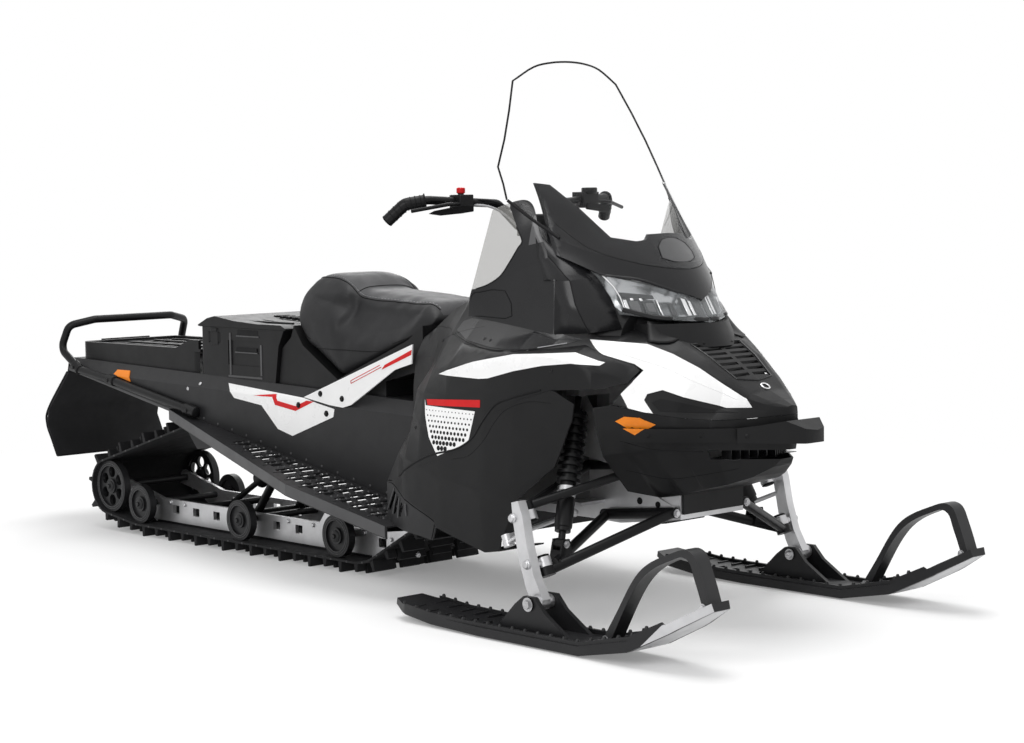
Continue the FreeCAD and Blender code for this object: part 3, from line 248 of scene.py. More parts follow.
# Colour, roughness, grain, depth of the grain in metres, and what differs from moulded's defaults
MOULDED = {
    "track_rubber": ((0.012, 0.012, 0.013), 0.7, 420.0, 0.0004, {"specular": 0.25}),
    "wheel_black": ((0.012, 0.012, 0.013), 0.45, 500.0, 0.0002, {"specular": 0.3}),
    "bare_aluminium": ((0.55, 0.55, 0.56), 0.36, 700.0, 0.0001, {"metallic": 0.85}),
    "black_steel": ((0.006, 0.006, 0.0065), 0.38, 800.0, 0.0001, {"specular": 0.18}),
    "dark_painted": ((0.014, 0.014, 0.015), 0.42, 600.0, 0.0001, {"specular": 0.25}),
    "black_plastic": ((0.008, 0.008, 0.0085), 0.42, 1100.0, 0.0001, {"specular": 0.18}),
    "gloss_black": ((0.010, 0.010, 0.011), 0.24, 1400.0, 0.00003, {"specular": 0.3}),
    "flap_rubber": ((0.014, 0.014, 0.015), 0.6, 300.0, 0.0003, {"specular": 0.2}),
    "red_lens": ((0.35, 0.008, 0.008), 0.15, 300.0, 0.0001, {"specular": 0.3}),
    "seat_vinyl": ((0.013, 0.013, 0.014), 0.5, 650.0, 0.0003, {"specular": 0.25}),
    # The lighter seat material on the next line is a painted highlight on the seat's upward-facing top facet
    "seat_painted_sheen": ((0.036, 0.036, 0.038), 0.55, 500.0, 0.0004, {"specular": 0.3}),
    "engine_metal": ((0.12, 0.12, 0.12), 0.6, 400.0, 0.0003, {"metallic": 0.6}),
    "white_plastic": ((0.82, 0.82, 0.82), 0.3, 900.0, 0.00005, {"coat": 0.3, "spread": 0.03}),
    "ski_plastic": ((0.012, 0.012, 0.013), 0.42, 500.0, 0.0002, {"specular": 0.25}),
    "strap_grey": ((0.016, 0.016, 0.017), 0.4, 400.0, 0.0002, {"specular": 0.3}),
    "white_gloss": ((0.84, 0.84, 0.84), 0.28, 900.0, 0.00004, {"coat": 0.4, "spread": 0.02}),
    "red_paint": ((0.56, 0.010, 0.012), 0.45, 900.0, 0.00004, {"specular": 0.2}),
    "amber_lens": ((0.80, 0.22, 0.006), 0.3, 250.0, 0.0001, {"specular": 0.3}),
    "chrome": ((0.8, 0.8, 0.81), 0.1, 300.0, 0.00003, {"metallic": 1.0, "spread": 0.05}),
    "steel": ((0.5, 0.5, 0.51), 0.28, 900.0, 0.00005, {"metallic": 0.95}),
    "bright_edge": ((0.5, 0.5, 0.51), 0.4, 700.0, 0.0001, {"metallic": 0.6}),
    "deep_black": ((0.004, 0.004, 0.0045), 0.5, 900.0, 0.0001, {"specular": 0.15}),
    "rubber_black": ((0.006, 0.006, 0.0065), 0.62, 600.0, 0.0002, {"specular": 0.15}),
    "label_grey": ((0.3, 0.3, 0.31), 0.5, 900.0, 0.0001, {}),
    "edge_grey": ((0.06, 0.06, 0.062), 0.45, 900.0, 0.0001, {"specular": 0.3}),
    "window_grey": ((0.05, 0.05, 0.052), 0.3, 900.0, 0.0001, {"coat": 0.3}),
    "lamp_silver": ((0.42, 0.43, 0.44), 0.22, 300.0, 0.00003, {"metallic": 1.0, "spread": 0.05}),
    "cable_grey": ((0.35, 0.35, 0.36), 0.35, 700.0, 0.00005, {}),
}
MATERIALS = {name: moulded(name, *values, **more) for name, (*values, more) in MOULDED.items()}
MATERIALS["clear_shield"] = clear_sheet("clear_shield", (0.93, 0.95, 0.96), 0.0, 0.06)
MATERIALS["smoked_shield"] = clear_sheet("smoked_shield", (0.30, 0.295, 0.28), 0.38, 0.6)
MATERIALS["lamp_lens"] = clear_sheet("lamp_lens", (0.85, 0.88, 0.9), 0.08, 0.5)


def smooth_group(name, limit):
    """Smooth shading with sharp edges kept, for meshes that come in as flat facets."""
    g = bpy.data.node_groups.new(name, "GeometryNodeTree")
    g.interface.new_socket("Geometry", in_out="INPUT", socket_type="NodeSocketGeometry")
    g.interface.new_socket("Geometry", in_out="OUTPUT", socket_type="NodeSocketGeometry")
    n, k = g.nodes, g.links
    start, end = n.new("NodeGroupInput"), n.new("NodeGroupOutput")
    merge = n.new("GeometryNodeMergeByDistance")
    merge.inputs["Distance"].default_value = MERGE
    faces = n.new("GeometryNodeSetShadeSmooth")
    edges = n.new("GeometryNodeSetShadeSmooth")
    edges.domain = "EDGE"
    edges.inputs["Shade Smooth"].default_value = False
    angle = n.new("GeometryNodeInputMeshEdgeAngle")
    sharp = n.new("FunctionNodeCompare")
    sharp.operation = "GREATER_THAN"
    sharp.inputs[1].default_value = math.radians(limit)
    k.new(start.outputs[0], merge.inputs[0])
    k.new(merge.outputs[0], faces.inputs["Geometry"])
    k.new(faces.outputs[0], edges.inputs["Geometry"])
    k.new(angle.outputs["Unsigned Angle"], sharp.inputs[0])
    k.new(sharp.outputs[0], edges.inputs["Selection"])
    k.new(edges.outputs[0], end.inputs[0])
    return g


CRISP = smooth_group("crisp_shading", 26)
ROUND = smooth_group("round_shading", 48)
ROUND_NODES = {"hood", "console", "belly_pan", "windshield", "cowl", "handlebar", "rear_bumper", "snow_flap"}
ROUND_NODES |= {f"{name}_{side}" for side in ("left", "right")
                for name in ("side_panel", "foot_panel", "wing", "ski", "shock", "lower_arm", "upper_arm")}


def dress_nodes():
    slots = {s["node"]: s["material_slot"] for s in frame["record"]["subparts"]}
    for name, ob in NODES.items():
        mat = MATERIALS[slots[name]]
        if not ob.material_slots:
            ob.data.materials.append(mat)
        for slot in ob.material_slots:
            slot.link = "OBJECT"
            slot.material = mat
        mod = ob.modifiers.new("shading", "NODES")
        mod.node_group = ROUND if name in ROUND_NODES else CRISP


# Mesh kit: lengths in millimetres, in the frame of the CAD
class Mesh:
    """Plain geometry collected for one joined piece."""

    def __init__(self):
        self.points = []
        self.faces = []

    def add(self, points, faces):
        start = len(self.points)
        self.points += [Vector(p) for p in points]
        self.faces += [tuple(i + start for i in face) for face in faces]

    def prism(self, outline, shift):
        """A plate from an outline in space, pushed along shift."""
        n = len(outline)
        far = [Vector(p) + Vector(shift) for p in outline]
        sides = [(i, (i + 1) % n, n + (i + 1) % n, n + i) for i in range(n)]
        self.add(list(outline) + far, [tuple(range(n)), tuple(range(n, 2 * n))] + sides)

    def box(self, low, high):
        x0, y0, z0 = low
        x1, y1, z1 = high
        self.prism([(x0, y0, z0), (x1, y0, z0), (x1, y1, z0), (x0, y1, z0)], (0, 0, z1 - z0))

    def turned(self, a, b, profile, sides=20):
        """A turned form on the axis a-b: the profile gives distance from a and radius."""
        a, b = Vector(a), Vector(b)
        w = (b - a).normalized()
        u = w.orthogonal().normalized()
        v = w.cross(u)
        points = []
        for t, r in profile:
            for k in range(sides):
                angle = 2 * math.pi * k / sides
                points.append(a + w * t + (u * math.cos(angle) + v * math.sin(angle)) * max(r, 0.01))
        faces = []
        for i in range(len(profile) - 1):
            for k in range(sides):
                n = (k + 1) % sides
                faces.append((i * sides + k, i * sides + n, (i + 1) * sides + n, (i + 1) * sides + k))
        last = (len(profile) - 1) * sides
        faces += [tuple(range(sides)), tuple(range(last, last + sides))]
        self.add(points, faces)

    def bolt(self, at, direction, size, height=5.0):
        """A hexagon head on a washer, standing on a surface."""
        a = Vector(at)
        d = Vector(direction).normalized()
        self.turned(a - d * 1.0, a + d, [(0, size * 1.35), (2.2, size * 1.35)], 16)
        self.turned(a, a + d, [(0, size), (height, size), (height + 0.8, size * 0.85)], 6)

    def tube(self, line, radius, sides=10, closed=False):
        """A round tube along a line of points."""
        line = [Vector(p) for p in line]
        n = len(line)
        tangents = []
        for i in range(n):
            before = line[i - 1] if (i or closed) else line[0]
            after = line[(i + 1) % n] if (i < n - 1 or closed) else line[-1]
            tangents.append((after - before).normalized())
        u = tangents[0].orthogonal().normalized()
        points = []
        for p, t in zip(line, tangents):
            u = (u - t * u.dot(t)).normalized()
            v = t.cross(u)
            for k in range(sides):
                angle = 2 * math.pi * k / sides
                points.append(p + (u * math.cos(angle) + v * math.sin(angle)) * radius)
        faces = []
        for i in range(n if closed else n - 1):
            j = (i + 1) % n
            for k in range(sides):
                m = (k + 1) % sides
                faces.append((i * sides + k, i * sides + m, j * sides + m, j * sides + k))
        if not closed:
            faces += [tuple(range(sides)), tuple(range((n - 1) * sides, n * sides))]
        self.add(points, faces)

    def mirrored(self):
        other = Mesh()
        other.points = [Vector((p.x, -p.y, p.z)) for p in self.points]
        other.faces = [tuple(reversed(f)) for f in self.faces]
        return other


def smooth_line(points, steps=8, closed=False):
    """A smooth line through the points."""
    points = [Vector(p) for p in points]
    n = len(points)
    out = []
    for i in range(n if closed else n - 1):
        p0 = points[i - 1] if (i or closed) else points[0] * 2 - points[1]
        p1, p2 = points[i], points[(i + 1) % n]
        p3 = points[(i + 2) % n] if (i < n - 2 or closed) else points[-1] * 2 - points[-2]
        for k in range(steps):
            t = k / steps
            out.append(0.5 * (2 * p1 + (p2 - p0) * t + (2 * p0 - 5 * p1 + 4 * p2 - p3) * t * t
                              + (3 * p1 - p0 - 3 * p2 + p3) * t ** 3))
    if not closed:
        out.append(points[-1])
    return out


def piece(name, mesh, material, body="chassis", bevel=0.0, angle=35.0):
    """A Blender object from collected geometry, riding on a body."""
    me = bpy.data.meshes.new(name)
    me.from_pydata([p / 1000 for p in mesh.points], [], mesh.faces)
    bm = bmesh.new()
    bm.from_mesh(me)
    bmesh.ops.recalc_face_normals(bm, faces=bm.faces)
    bm.to_mesh(me)
    bm.free()
    return put(name, me, material, body, bevel, angle)


def put(name, me, material, body, bevel=0.0, angle=35.0):
    me.materials.append(MATERIALS[material])
    ob = bpy.data.objects.new(name, me)
    bpy.context.collection.objects.link(ob)
    me.polygons.foreach_set("use_smooth", [True] * len(me.polygons))
    me.set_sharp_from_angle(angle=math.radians(angle))
    if bevel:
        mod = ob.modifiers.new("bevel", "BEVEL")
        mod.width = bevel / 1000
        mod.segments = 2
        mod.limit_method = "ANGLE"
        mod.angle_limit = math.radians(40)
    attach(ob, body)
    return ob


def pair(name, mesh, material, body="chassis", bevel=0.0, angle=35.0):
    """A right-hand piece and its mirror image."""
    for side, form in (("right", mesh), ("left", mesh.mirrored())):
        piece(f"{name}_{side}", form, material, body.format(side=side), bevel, angle)


def thicken(ob):
    """Gives a sheet its thickness, towards its back."""
    mod = ob.modifiers.new("thickness", "SOLIDIFY")
    mod.thickness = 0.003
    mod.offset = -1


def circle(centre, u, v, radius, count):
    angles = (2 * math.pi * k / count for k in range(count))
    return [centre + (u * math.cos(a) + v * math.sin(a)) * radius for a in angles]


def grid_faces(columns, rows):
    """The faces of a sheet whose points are listed column by column."""
    step = rows + 1
    return [(i * step + k, i * step + k + 1, (i + 1) * step + k + 1, (i + 1) * step + k)
            for i in range(columns) for k in range(rows)]


# Thin pieces laid on a CAD surface
TREES = {}
VIEWS = {"right": (0, -1, 0), "left": (0, 1, 0), "front": (1, 0, 0), "rear": (-1, 0, 0), "top": (0, 0, 1),
         "under": (0, 0, -1)}
# How far out, in millimetres, the surface lies on each side where a ray misses it
NEAR_DEPTH = {"right": 300, "left": 300, "front": 1100, "rear": -300, "top": 700, "under": 0}
FAR = 3000
LEAST_FACING = 0.04
# A face is hidden if a ray from PROBE metres out stops HIDDEN_BY before it
PROBE = 3
HIDDEN_BY = 0.003


def tree_of(nodes):
    if nodes not in TREES:
        points, faces = [], []
        for name in nodes:
            me = NODES[name].data
            start = len(points)
            points += [v.co.copy() for v in me.vertices]
            faces += [tuple(i + start for i in p.vertices) for p in me.polygons]
        TREES[nodes] = BVHTree.FromPolygons(points, faces)
    return TREES[nodes]


def lift_point(p, view):
    """The point in space for plane coordinates seen from that side, far outside the object."""
    a, b = p
    out = Vector(VIEWS[view]) * FAR
    if view in ("right", "left"):
        return Vector((a, 0, b)) + out
    if view in ("front", "rear"):
        return Vector((0, a, b)) + out
    return Vector((a, b, 0)) + out


def drop(p, view, nodes):
    """Where a point seen from that side meets the nodes: place and outward normal, in millimetres."""
    out = Vector(VIEWS[view])
    at, normal, index, distance = tree_of(nodes).ray_cast(lift_point(p, view) / 1000, -out)
    if at is None:
        return None, None
    if normal.dot(out) < 0:
        normal = -normal
    return at * 1000, normal


def drop_near(p, view, nodes):
    """As drop, and just outside the nodes the closest place on them."""
    at, normal = drop(p, view, nodes)
    if at is None:
        out = Vector(VIEWS[view])
        guess = lift_point(p, view) - out * (FAR - NEAR_DEPTH[view])
        at, normal, index, distance = tree_of(nodes).find_nearest(guess / 1000)
        at = at * 1000
        if normal.dot(out) < 0:
            normal = -normal
    return at, normal


def flat(co, view):
    """Plane coordinates of a point, seen from that side."""
    if view in ("right", "left"):
        return Vector((co.x, co.z))
    if view in ("front", "rear"):
        return Vector((co.y, co.z))
    return Vector((co.x, co.y))


def facing_mesh(nodes, rim, view):
    """The faces of the nodes that look to that side and lie near the outline."""
    out = Vector(VIEWS[view])
    low = Vector((min(p.x for p in rim), min(p.y for p in rim)))
    high = Vector((max(p.x for p in rim), max(p.y for p in rim)))
    bm = bmesh.new()
    for name in nodes:
        me = NODES[name].data
        for p in me.polygons:
            if p.normal.dot(out) < LEAST_FACING:
                continue
            corners = [me.vertices[i].co for i in p.vertices]
            seen = [flat(c * 1000, view) for c in corners]
            if (max(s.x for s in seen) < low.x or min(s.x for s in seen) > high.x
                    or max(s.y for s in seen) < low.y or min(s.y for s in seen) > high.y):
                continue
            bm.faces.new([bm.verts.new(c) for c in corners])
    bmesh.ops.remove_doubles(bm, verts=bm.verts, dist=MERGE)
    return bm


def laid(name, nodes, outline, view, material, lift=0.6, body="chassis", down=0.8):
    """A thin skin of that outline, cut from the surface of the nodes and lifted off it."""
    rim = [Vector(p) for p in outline]
    out = Vector(VIEWS[view])
    bm = facing_mesh(nodes, rim, view)
    for a, b in zip(rim, rim[1:] + rim[:1]):
        d = (b - a).normalized()
        across = lift_point((-d.y, d.x), view) - out * FAR
        everything = bm.verts[:] + bm.edges[:] + bm.faces[:]
        bmesh.ops.bisect_plane(bm, geom=everything, dist=1e-6, plane_co=lift_point(a, view) / 1000,
                               plane_no=across)
    tree = tree_of(nodes)
    spare = []
    for face in bm.faces:
        centre = face.calc_center_median()
        hit = tree.ray_cast(centre + out * PROBE, -out)
        if not inside(flat(centre * 1000, view), rim) or hit[3] is None or hit[3] < PROBE - HIDDEN_BY:
            spare.append(face)
    bmesh.ops.delete(bm, geom=spare, context="FACES")
    bm.normal_update()
    normals = {v: v.normal.copy() for v in bm.verts}
    for v, n in normals.items():
        v.co += n * lift / 1000
    lower = {}
    for e in [e for e in bm.edges if e.is_boundary]:
        for v in e.verts:
            if v not in lower:
                lower[v] = bm.verts.new(v.co - normals[v] * (lift + down) / 1000)
        bm.faces.new((e.verts[1], e.verts[0], lower[e.verts[0]], lower[e.verts[1]]))
    bmesh.ops.recalc_face_normals(bm, faces=bm.faces)
    me = bpy.data.meshes.new(name)
    bm.to_mesh(me)
    bm.free()
    put(name, me, material, body, angle=50.0)


def inside(q, loop):
    hit = False
    for a, b in zip(loop, loop[1:] + loop[:1]):
        if (a.y > q.y) != (b.y > q.y) and q.x < (b.x - a.x) * (q.y - a.y) / (b.y - a.y) + a.x:
            hit = not hit
    return hit


def edge_distance(q, a, b):
    t = max(0.0, min(1.0, (q - a).dot(b - a) / (b - a).length_squared))
    return (q - (a + (b - a) * t)).length


def rim_distance(q, rim):
    return min(edge_distance(q, a, b) for a, b in zip(rim, rim[1:] + rim[:1]))


def laid_pair(name, nodes, outline, material, **more):
    """The same skin on both sides; a node ending in _right is taken with its left twin."""
    body = more.pop("body", "chassis")
    for side in ("right", "left"):
        own = tuple(n.replace("_right", "_" + side) for n in nodes)
        laid(f"{name}_{side}", own, outline, side, material, body=body.format(side=side), **more)


def line_on(nodes, line, view, lift=0.0, steps=6, smooth=True):
    """A line of points that follows the surface of the nodes."""
    places = [Vector((a, b, 0)) for a, b in line]
    places = smooth_line(places, steps) if smooth else places
    out = []
    for p in places:
        at, normal = drop_near((p.x, p.y), view, nodes)
        out.append(at + normal * lift)
    return out


def bead(name, nodes, line, view, material, radius, lift, steps=8, sides=8, smooth=True):
    """A thin bead along a line on the nodes."""
    tube = Mesh()
    tube.tube(line_on(nodes, line, view, lift, steps, smooth), radius, sides)
    piece(name, tube, material)


def trim_pair(name, nodes, line, material, radius=1.4, lift=0.2, steps=8):
    """A thin bead along a line on both sides."""
    for side in ("right", "left"):
        own = tuple(n.replace("_right", "_" + side) for n in nodes)
        bead(f"{name}_{side}", own, line, side, material, radius, lift, steps)


def heads_on(spots, view, nodes, profile):
    """Turned screw heads on the nodes, at places seen from that side."""
    heads = Mesh()
    for spot in spots:
        at, normal = drop_near(spot, view, nodes)
        heads.turned(at - normal, at + normal, profile, 14)
    return heads


# Camera side of the machine is its right side, so pairs are drawn there and mirrored
BODY = ("hood", "console", "side_panel_right", "foot_panel_right", "belly_pan")
NOSE = ("hood", "belly_pan", "side_panel_right")
TUNNEL_REAR, TUNNEL_TOP_REAR, TUNNEL_HALF = -1470, 560, 225
BRACE_OUT = 4.6
SHIELD_MIDDLE, SHIELD_TOP = 1150, 1418.5
WHEEL_FACE = 188.6
SKI_Y = 487.5
# The belt: its inner face's height under the rails, thickness, half width and the step of its lugs
BELT_INNER, BELT, TRACK_HALF, TRACK_PITCH = 38.0, 6.0, 203, 72.6


def dress_side_panels():
    stripe = [(549, 613), (700, 652), (845, 677), (999, 684), (1072, 661), (1068, 654), (1011, 659),
              (937, 652), (851, 636), (763, 614), (729, 611)]
    laid_pair("side_stripe", BODY, stripe, "white_gloss", lift=0.7)
    bar = [(517, 547), (736, 558), (736, 539), (524, 532)]
    laid_pair("side_red_bar", BODY, bar, "red_paint", lift=0.9)
    badge = [(509, 545), (515, 531), (717, 528), (694, 447), (579, 405), (540, 450), (517, 506)]
    laid_pair("side_badge", BODY, badge, "white_gloss", lift=0.7)
    dots_pair(badge)
    insert = [(517, 721), (526, 744), (558, 752), (872, 738), (980, 712), (960, 703), (879, 690), (800, 686),
              (711, 689), (600, 700)]
    laid_pair("hood_insert", BODY, insert, "gloss_black", lift=0.6)
    insert_low = [(515, 716), (560, 704), (690, 686), (800, 683), (880, 688), (952, 701)]
    trim_pair("hood_insert_edge", BODY, insert_low, "deep_black", 2.2, -0.6)
    trim_pair("hood_insert_glint", BODY, [(900, 693), (930, 698), (958, 704)], "label_grey", 1.5, 0.9)
    # Dark lines sunk along the creases: painted shade of the creases
    trim_pair("side_upper_crease", BODY, [(470, 700), (560, 722), (640, 735)], "deep_black", 1.3, -0.5)
    front_crease = [(812, 772), (900, 757), (1000, 738), (1090, 722), (1120, 712)]
    trim_pair("front_crease", BODY, front_crease, "deep_black", 1.1, -0.4)
    spots = [(676, 706), (705, 704), (1076, 728), (430, 690), (470, 470), (960, 640)]
    screws = heads_on(spots, "right", BODY, [(0, 5.2), (1.9, 5.2), (2.6, 3.8), (2.0, 2.6)])
    pair("panel_screws", screws, "black_steel")


def dots_pair(outline):
    """Dots that grow towards the badge's lower end."""
    dots = Mesh()
    rim = [Vector(p) for p in outline]
    first_x, first_z, step = 508, 412, 13.5
    for row in range(9):
        z = first_z + row * step
        radius = 7.4 - row * 0.72
        for column in range(19):
            x = first_x + (column + 0.5 * (row % 2)) * step
            q = Vector((x, z))
            if inside(q, rim) and rim_distance(q, rim) >= radius:
                at, normal = drop_near((x, z), "right", BODY)
                dots.turned(at + normal * 0.2, at + normal * 3, [(0, radius), (1.0, radius)], 8)
    pair("side_badge_dots", dots, "deep_black")


def dress_nose():
    panel = [(995, 712), (1059, 708), (1121, 702), (1179, 678), (1240, 645), (1300, 606), (1352, 572),
             (1363, 552), (1313, 551), (1267, 568), (1234, 581), (1197, 595), (1172, 586), (1171, 572),
             (1199, 541), (1146, 551), (1128, 575), (1104, 606), (1126, 628), (1124, 642), (1105, 655),
             (1080, 668), (1042, 686)]
    laid_pair("nose_panel", ("hood", "belly_pan"), panel, "white_gloss", lift=1.2)
    amber = [(1110, 520), (1132, 532), (1170, 530), (1202, 514), (1161, 489)]
    laid_pair("front_reflector", ("belly_pan", "front_bumper"), amber, "amber_lens", lift=2.0, down=1.5)
    # The recess under the nose panel is laid darker and duller than the hood: painted shade in the recess
    recess = [(1200, 575), (1240, 566), (1290, 549), (1340, 540), (1290, 541), (1210, 546), (1187, 566)]
    laid_pair("nose_recess_shade", NOSE, recess, "deep_black", lift=0.5)
    crease = [(1060, 690), (1120, 668), (1180, 646), (1260, 606), (1330, 572)]
    trim_pair("nose_panel_crease", NOSE, crease, "white_gloss", 1.2, 1.2)
    dress_grille()
    dress_intake()
    nose_roundel()
    bumper_screws()
    # Dark lines sunk along the pan's creases: painted shade of the creases
    pan = ("belly_pan",)
    high = [(1110, 470), (1180, 452), (1260, 446), (1330, 444)]
    trim_pair("pan_crease", pan, high, "deep_black", 1.2, -0.4)
    low = [(1090, 392), (1170, 372), (1260, 386), (1330, 402)]
    trim_pair("pan_low_crease", pan, low, "deep_black", 1.2, -0.4)


def dress_grille():
    """Dark backing that slopes with the hood under its slots, and a raised frame."""
    rim = [(1172, -86), (1172, 86), (1306, 62), (1306, -62)]
    fall, top, depth = 0.634, 700, 13
    backing = Mesh()
    backing.prism([(x, y, top - (x - 1180) * fall - depth) for x, y in rim], (0, 0, -2))
    piece("grille_backing", backing, "deep_black")
    line = [(1176, 0), (1180, 90), (1240, 80), (1305, 64), (1318, 0), (1305, -64), (1240, -80), (1180, -90)]
    bead("grille_frame", ("hood",), line + line[:1], "top", "gloss_black", 2.4, 0.5, 6, smooth=False)


def dress_intake():
    fins = Mesh()
    for i in range(11):
        y = -100 + i * 20
        x = 1372 - abs(y) * 0.55
        fins.box((x - 30, y - 1.5, 427), (x, y + 1.5, 448))
    fins.box((1270, -118, 425.5), (1340, 118, 427))
    piece("intake_fins", fins, "gloss_black")


def nose_roundel():
    at, normal = drop_near((1340, 0), "top", ("hood",))
    u = normal.orthogonal().normalized()
    ring = Mesh()
    ring.tube(circle(at + normal * 1.2, u, normal.cross(u), 11, 32), 2.4, 8, closed=True)
    piece("nose_roundel", ring, "chrome")


def bumper_screws():
    screws = Mesh()
    for view in ("left", "right"):
        for x in (1190, 1290, 1380):
            at, normal = drop_near((x, 487), view, ("front_bumper",))
            screws.turned(at - normal, at + normal, [(0, 6), (1.6, 6), (2.4, 4.5)], 14)
    piece("bumper_screws", screws, "black_steel")


def dress_foot_panels():
    foot = ("foot_panel_right", "running_board_right")
    seam = [(398, 334), (470, 372), (549, 405), (646, 427), (706, 458), (742, 500), (788, 548), (845, 569),
            (932, 592)]
    trim_pair("side_panel_seam", ("side_panel_right",), seam, "deep_black", 3.6, -1.6)
    # Dark line sunk along the swage: painted shade of the fold
    swage = [(640, 402), (700, 415), (752, 455), (790, 505), (830, 540), (900, 562), (960, 560)]
    trim_pair("foot_panel_swage", ("foot_panel_right",), swage, "deep_black", 1.2, -0.5)
    rim = [(286, 312), (352, 312), (400, 296), (470, 268), (556, 236), (562, 220), (548, 180)]
    trim_pair("toe_guard_rim", foot, rim, "deep_black", 1.6, -0.2)
    ribs = Mesh()
    for a, b in (((372, 300), (334, 239)), ((388, 288), (372, 232)), ((409, 280), (405, 226)),
                 ((446, 268), (450, 237))):
        start, normal = drop_near(a, "right", foot)
        end, other = drop_near(b, "right", foot)
        ribs.tube([start + normal * 0.6, (start + end) / 2 + normal * 1.4, end + other * 0.6], 2.6, 8)
    pair("toe_guard_ribs", ribs, "edge_grey")


def shield_point(y, z, pull=0.04):
    """The shield's front face at its very edge, found from two places further in."""
    near, normal = drop_near((y * (1 - pull), z + (SHIELD_MIDDLE - z) * pull), "front", ("windshield",))
    pull *= 2
    far, normal = drop_near((y * (1 - pull), z + (SHIELD_MIDDLE - z) * pull), "front", ("windshield",))
    return Vector((2 * near.x - far.x, y, z))


def dress_windshield():
    """Black edge round the shield, thicker at its lower corners."""
    inset = Vector((3, 0, 0))
    sides = [(302, 1060), (299, 1100), (296, 1143), (262, 1213), (227, 1288), (191, 1365)]
    top = smooth_line([Vector(p) for p in ((191, 1365), (121, 1402), (60, 1415), (0, 1419))], 4)
    edge = sides[:-1] + [tuple(p) for p in top]
    whole = edge + [(-y, z) for y, z in reversed(edge[:-1])]
    line = [shield_point(y, z) - inset for y, z in whole]
    rim = Mesh()
    rim.tube([Vector((p.x, p.y, min(p.z, SHIELD_TOP))) for p in line], 2.6, 8)
    piece("shield_edge", rim, "deep_black")
    rim = Mesh()
    for side in (1, -1):
        low = [(301 * side, 1058), (272 * side, 1010), (241 * side, 962)]
        rim.tube([shield_point(y, z) - inset for y, z in low], 4.2, 8)
    piece("shield_side_edge", rim, "deep_black")


def dress_cowl():
    cowl = ("cowl",)
    window = [(-60, 908), (-54, 936), (-34, 953), (-8, 959), (22, 956), (50, 942), (62, 922), (58, 906),
              (28, 898), (-30, 898)]
    laid("cowl_window", cowl, window, "front", "window_grey", lift=1.0)
    bead("cowl_window_frame", cowl, window + window[:1], "front", "deep_black", 1.6, 0.6, 5, smooth=False)
    # Dark line sunk along the cowl's swage: painted shade of the fold
    swage = [(-236, 1000), (-196, 934), (-130, 900), (-60, 884), (0, 880), (60, 884), (130, 900), (196, 934),
             (236, 1000)]
    bead("cowl_swage", cowl, swage, "front", "deep_black", 1.4, -0.6)
    rim = [(0, 806), (70, 830), (135, 859), (200, 874), (250, 918), (238, 1094)]
    whole = [(-y, z) for y, z in reversed(rim[1:])] + rim
    bead("cowl_lower_bead", cowl, whole, "front", "gloss_black", 3.6, -3.0, 6, sides=10)
    dress_wings()


def dress_wings():
    """Each wing is tinted clear at its rear top and solid black below and in front."""
    wing = ("wing_right",)
    clear_edge = [(772, 990), (787, 955), (777, 938), (752, 898), (728, 867), (694, 846), (658, 834)]
    black = [(590, 640), (1010, 640), (1010, 1130), (770, 1130), (757, 1040)] + clear_edge + [(590, 826)]
    laid_pair("wing_black", wing, black, "gloss_black", lift=0.5)
    lobe = [(612, 768), (645, 818), (669, 826), (745, 830), (774, 767), (713, 762)]
    trim_pair("wing_lobe_edge", wing, lobe + lobe[:1], "deep_black", 1.3, 0.7, 2)
    trim_pair("wing_black_edge", wing, clear_edge[::-1], "deep_black", 1.5, 0.6)
    bright = [(806, 945), (868, 958), (842, 1012), (812, 1020)]
    laid_pair("wing_bright_insert", wing, bright, "window_grey", lift=0.8)


def lamp_back(y, z, depth):
    """A point that far behind the right lens."""
    at, normal = drop_near((y, z), "front", ("headlamp_right",))
    return Vector((at.x - depth, y, z))


def lens_blocks(mesh, outlines, depth, thick):
    """Blocks behind the right lens, each from its outline seen from the front."""
    for outline in outlines:
        mesh.prism([lamp_back(y, z, depth) for y, z in outline], (-thick, 0, 0))


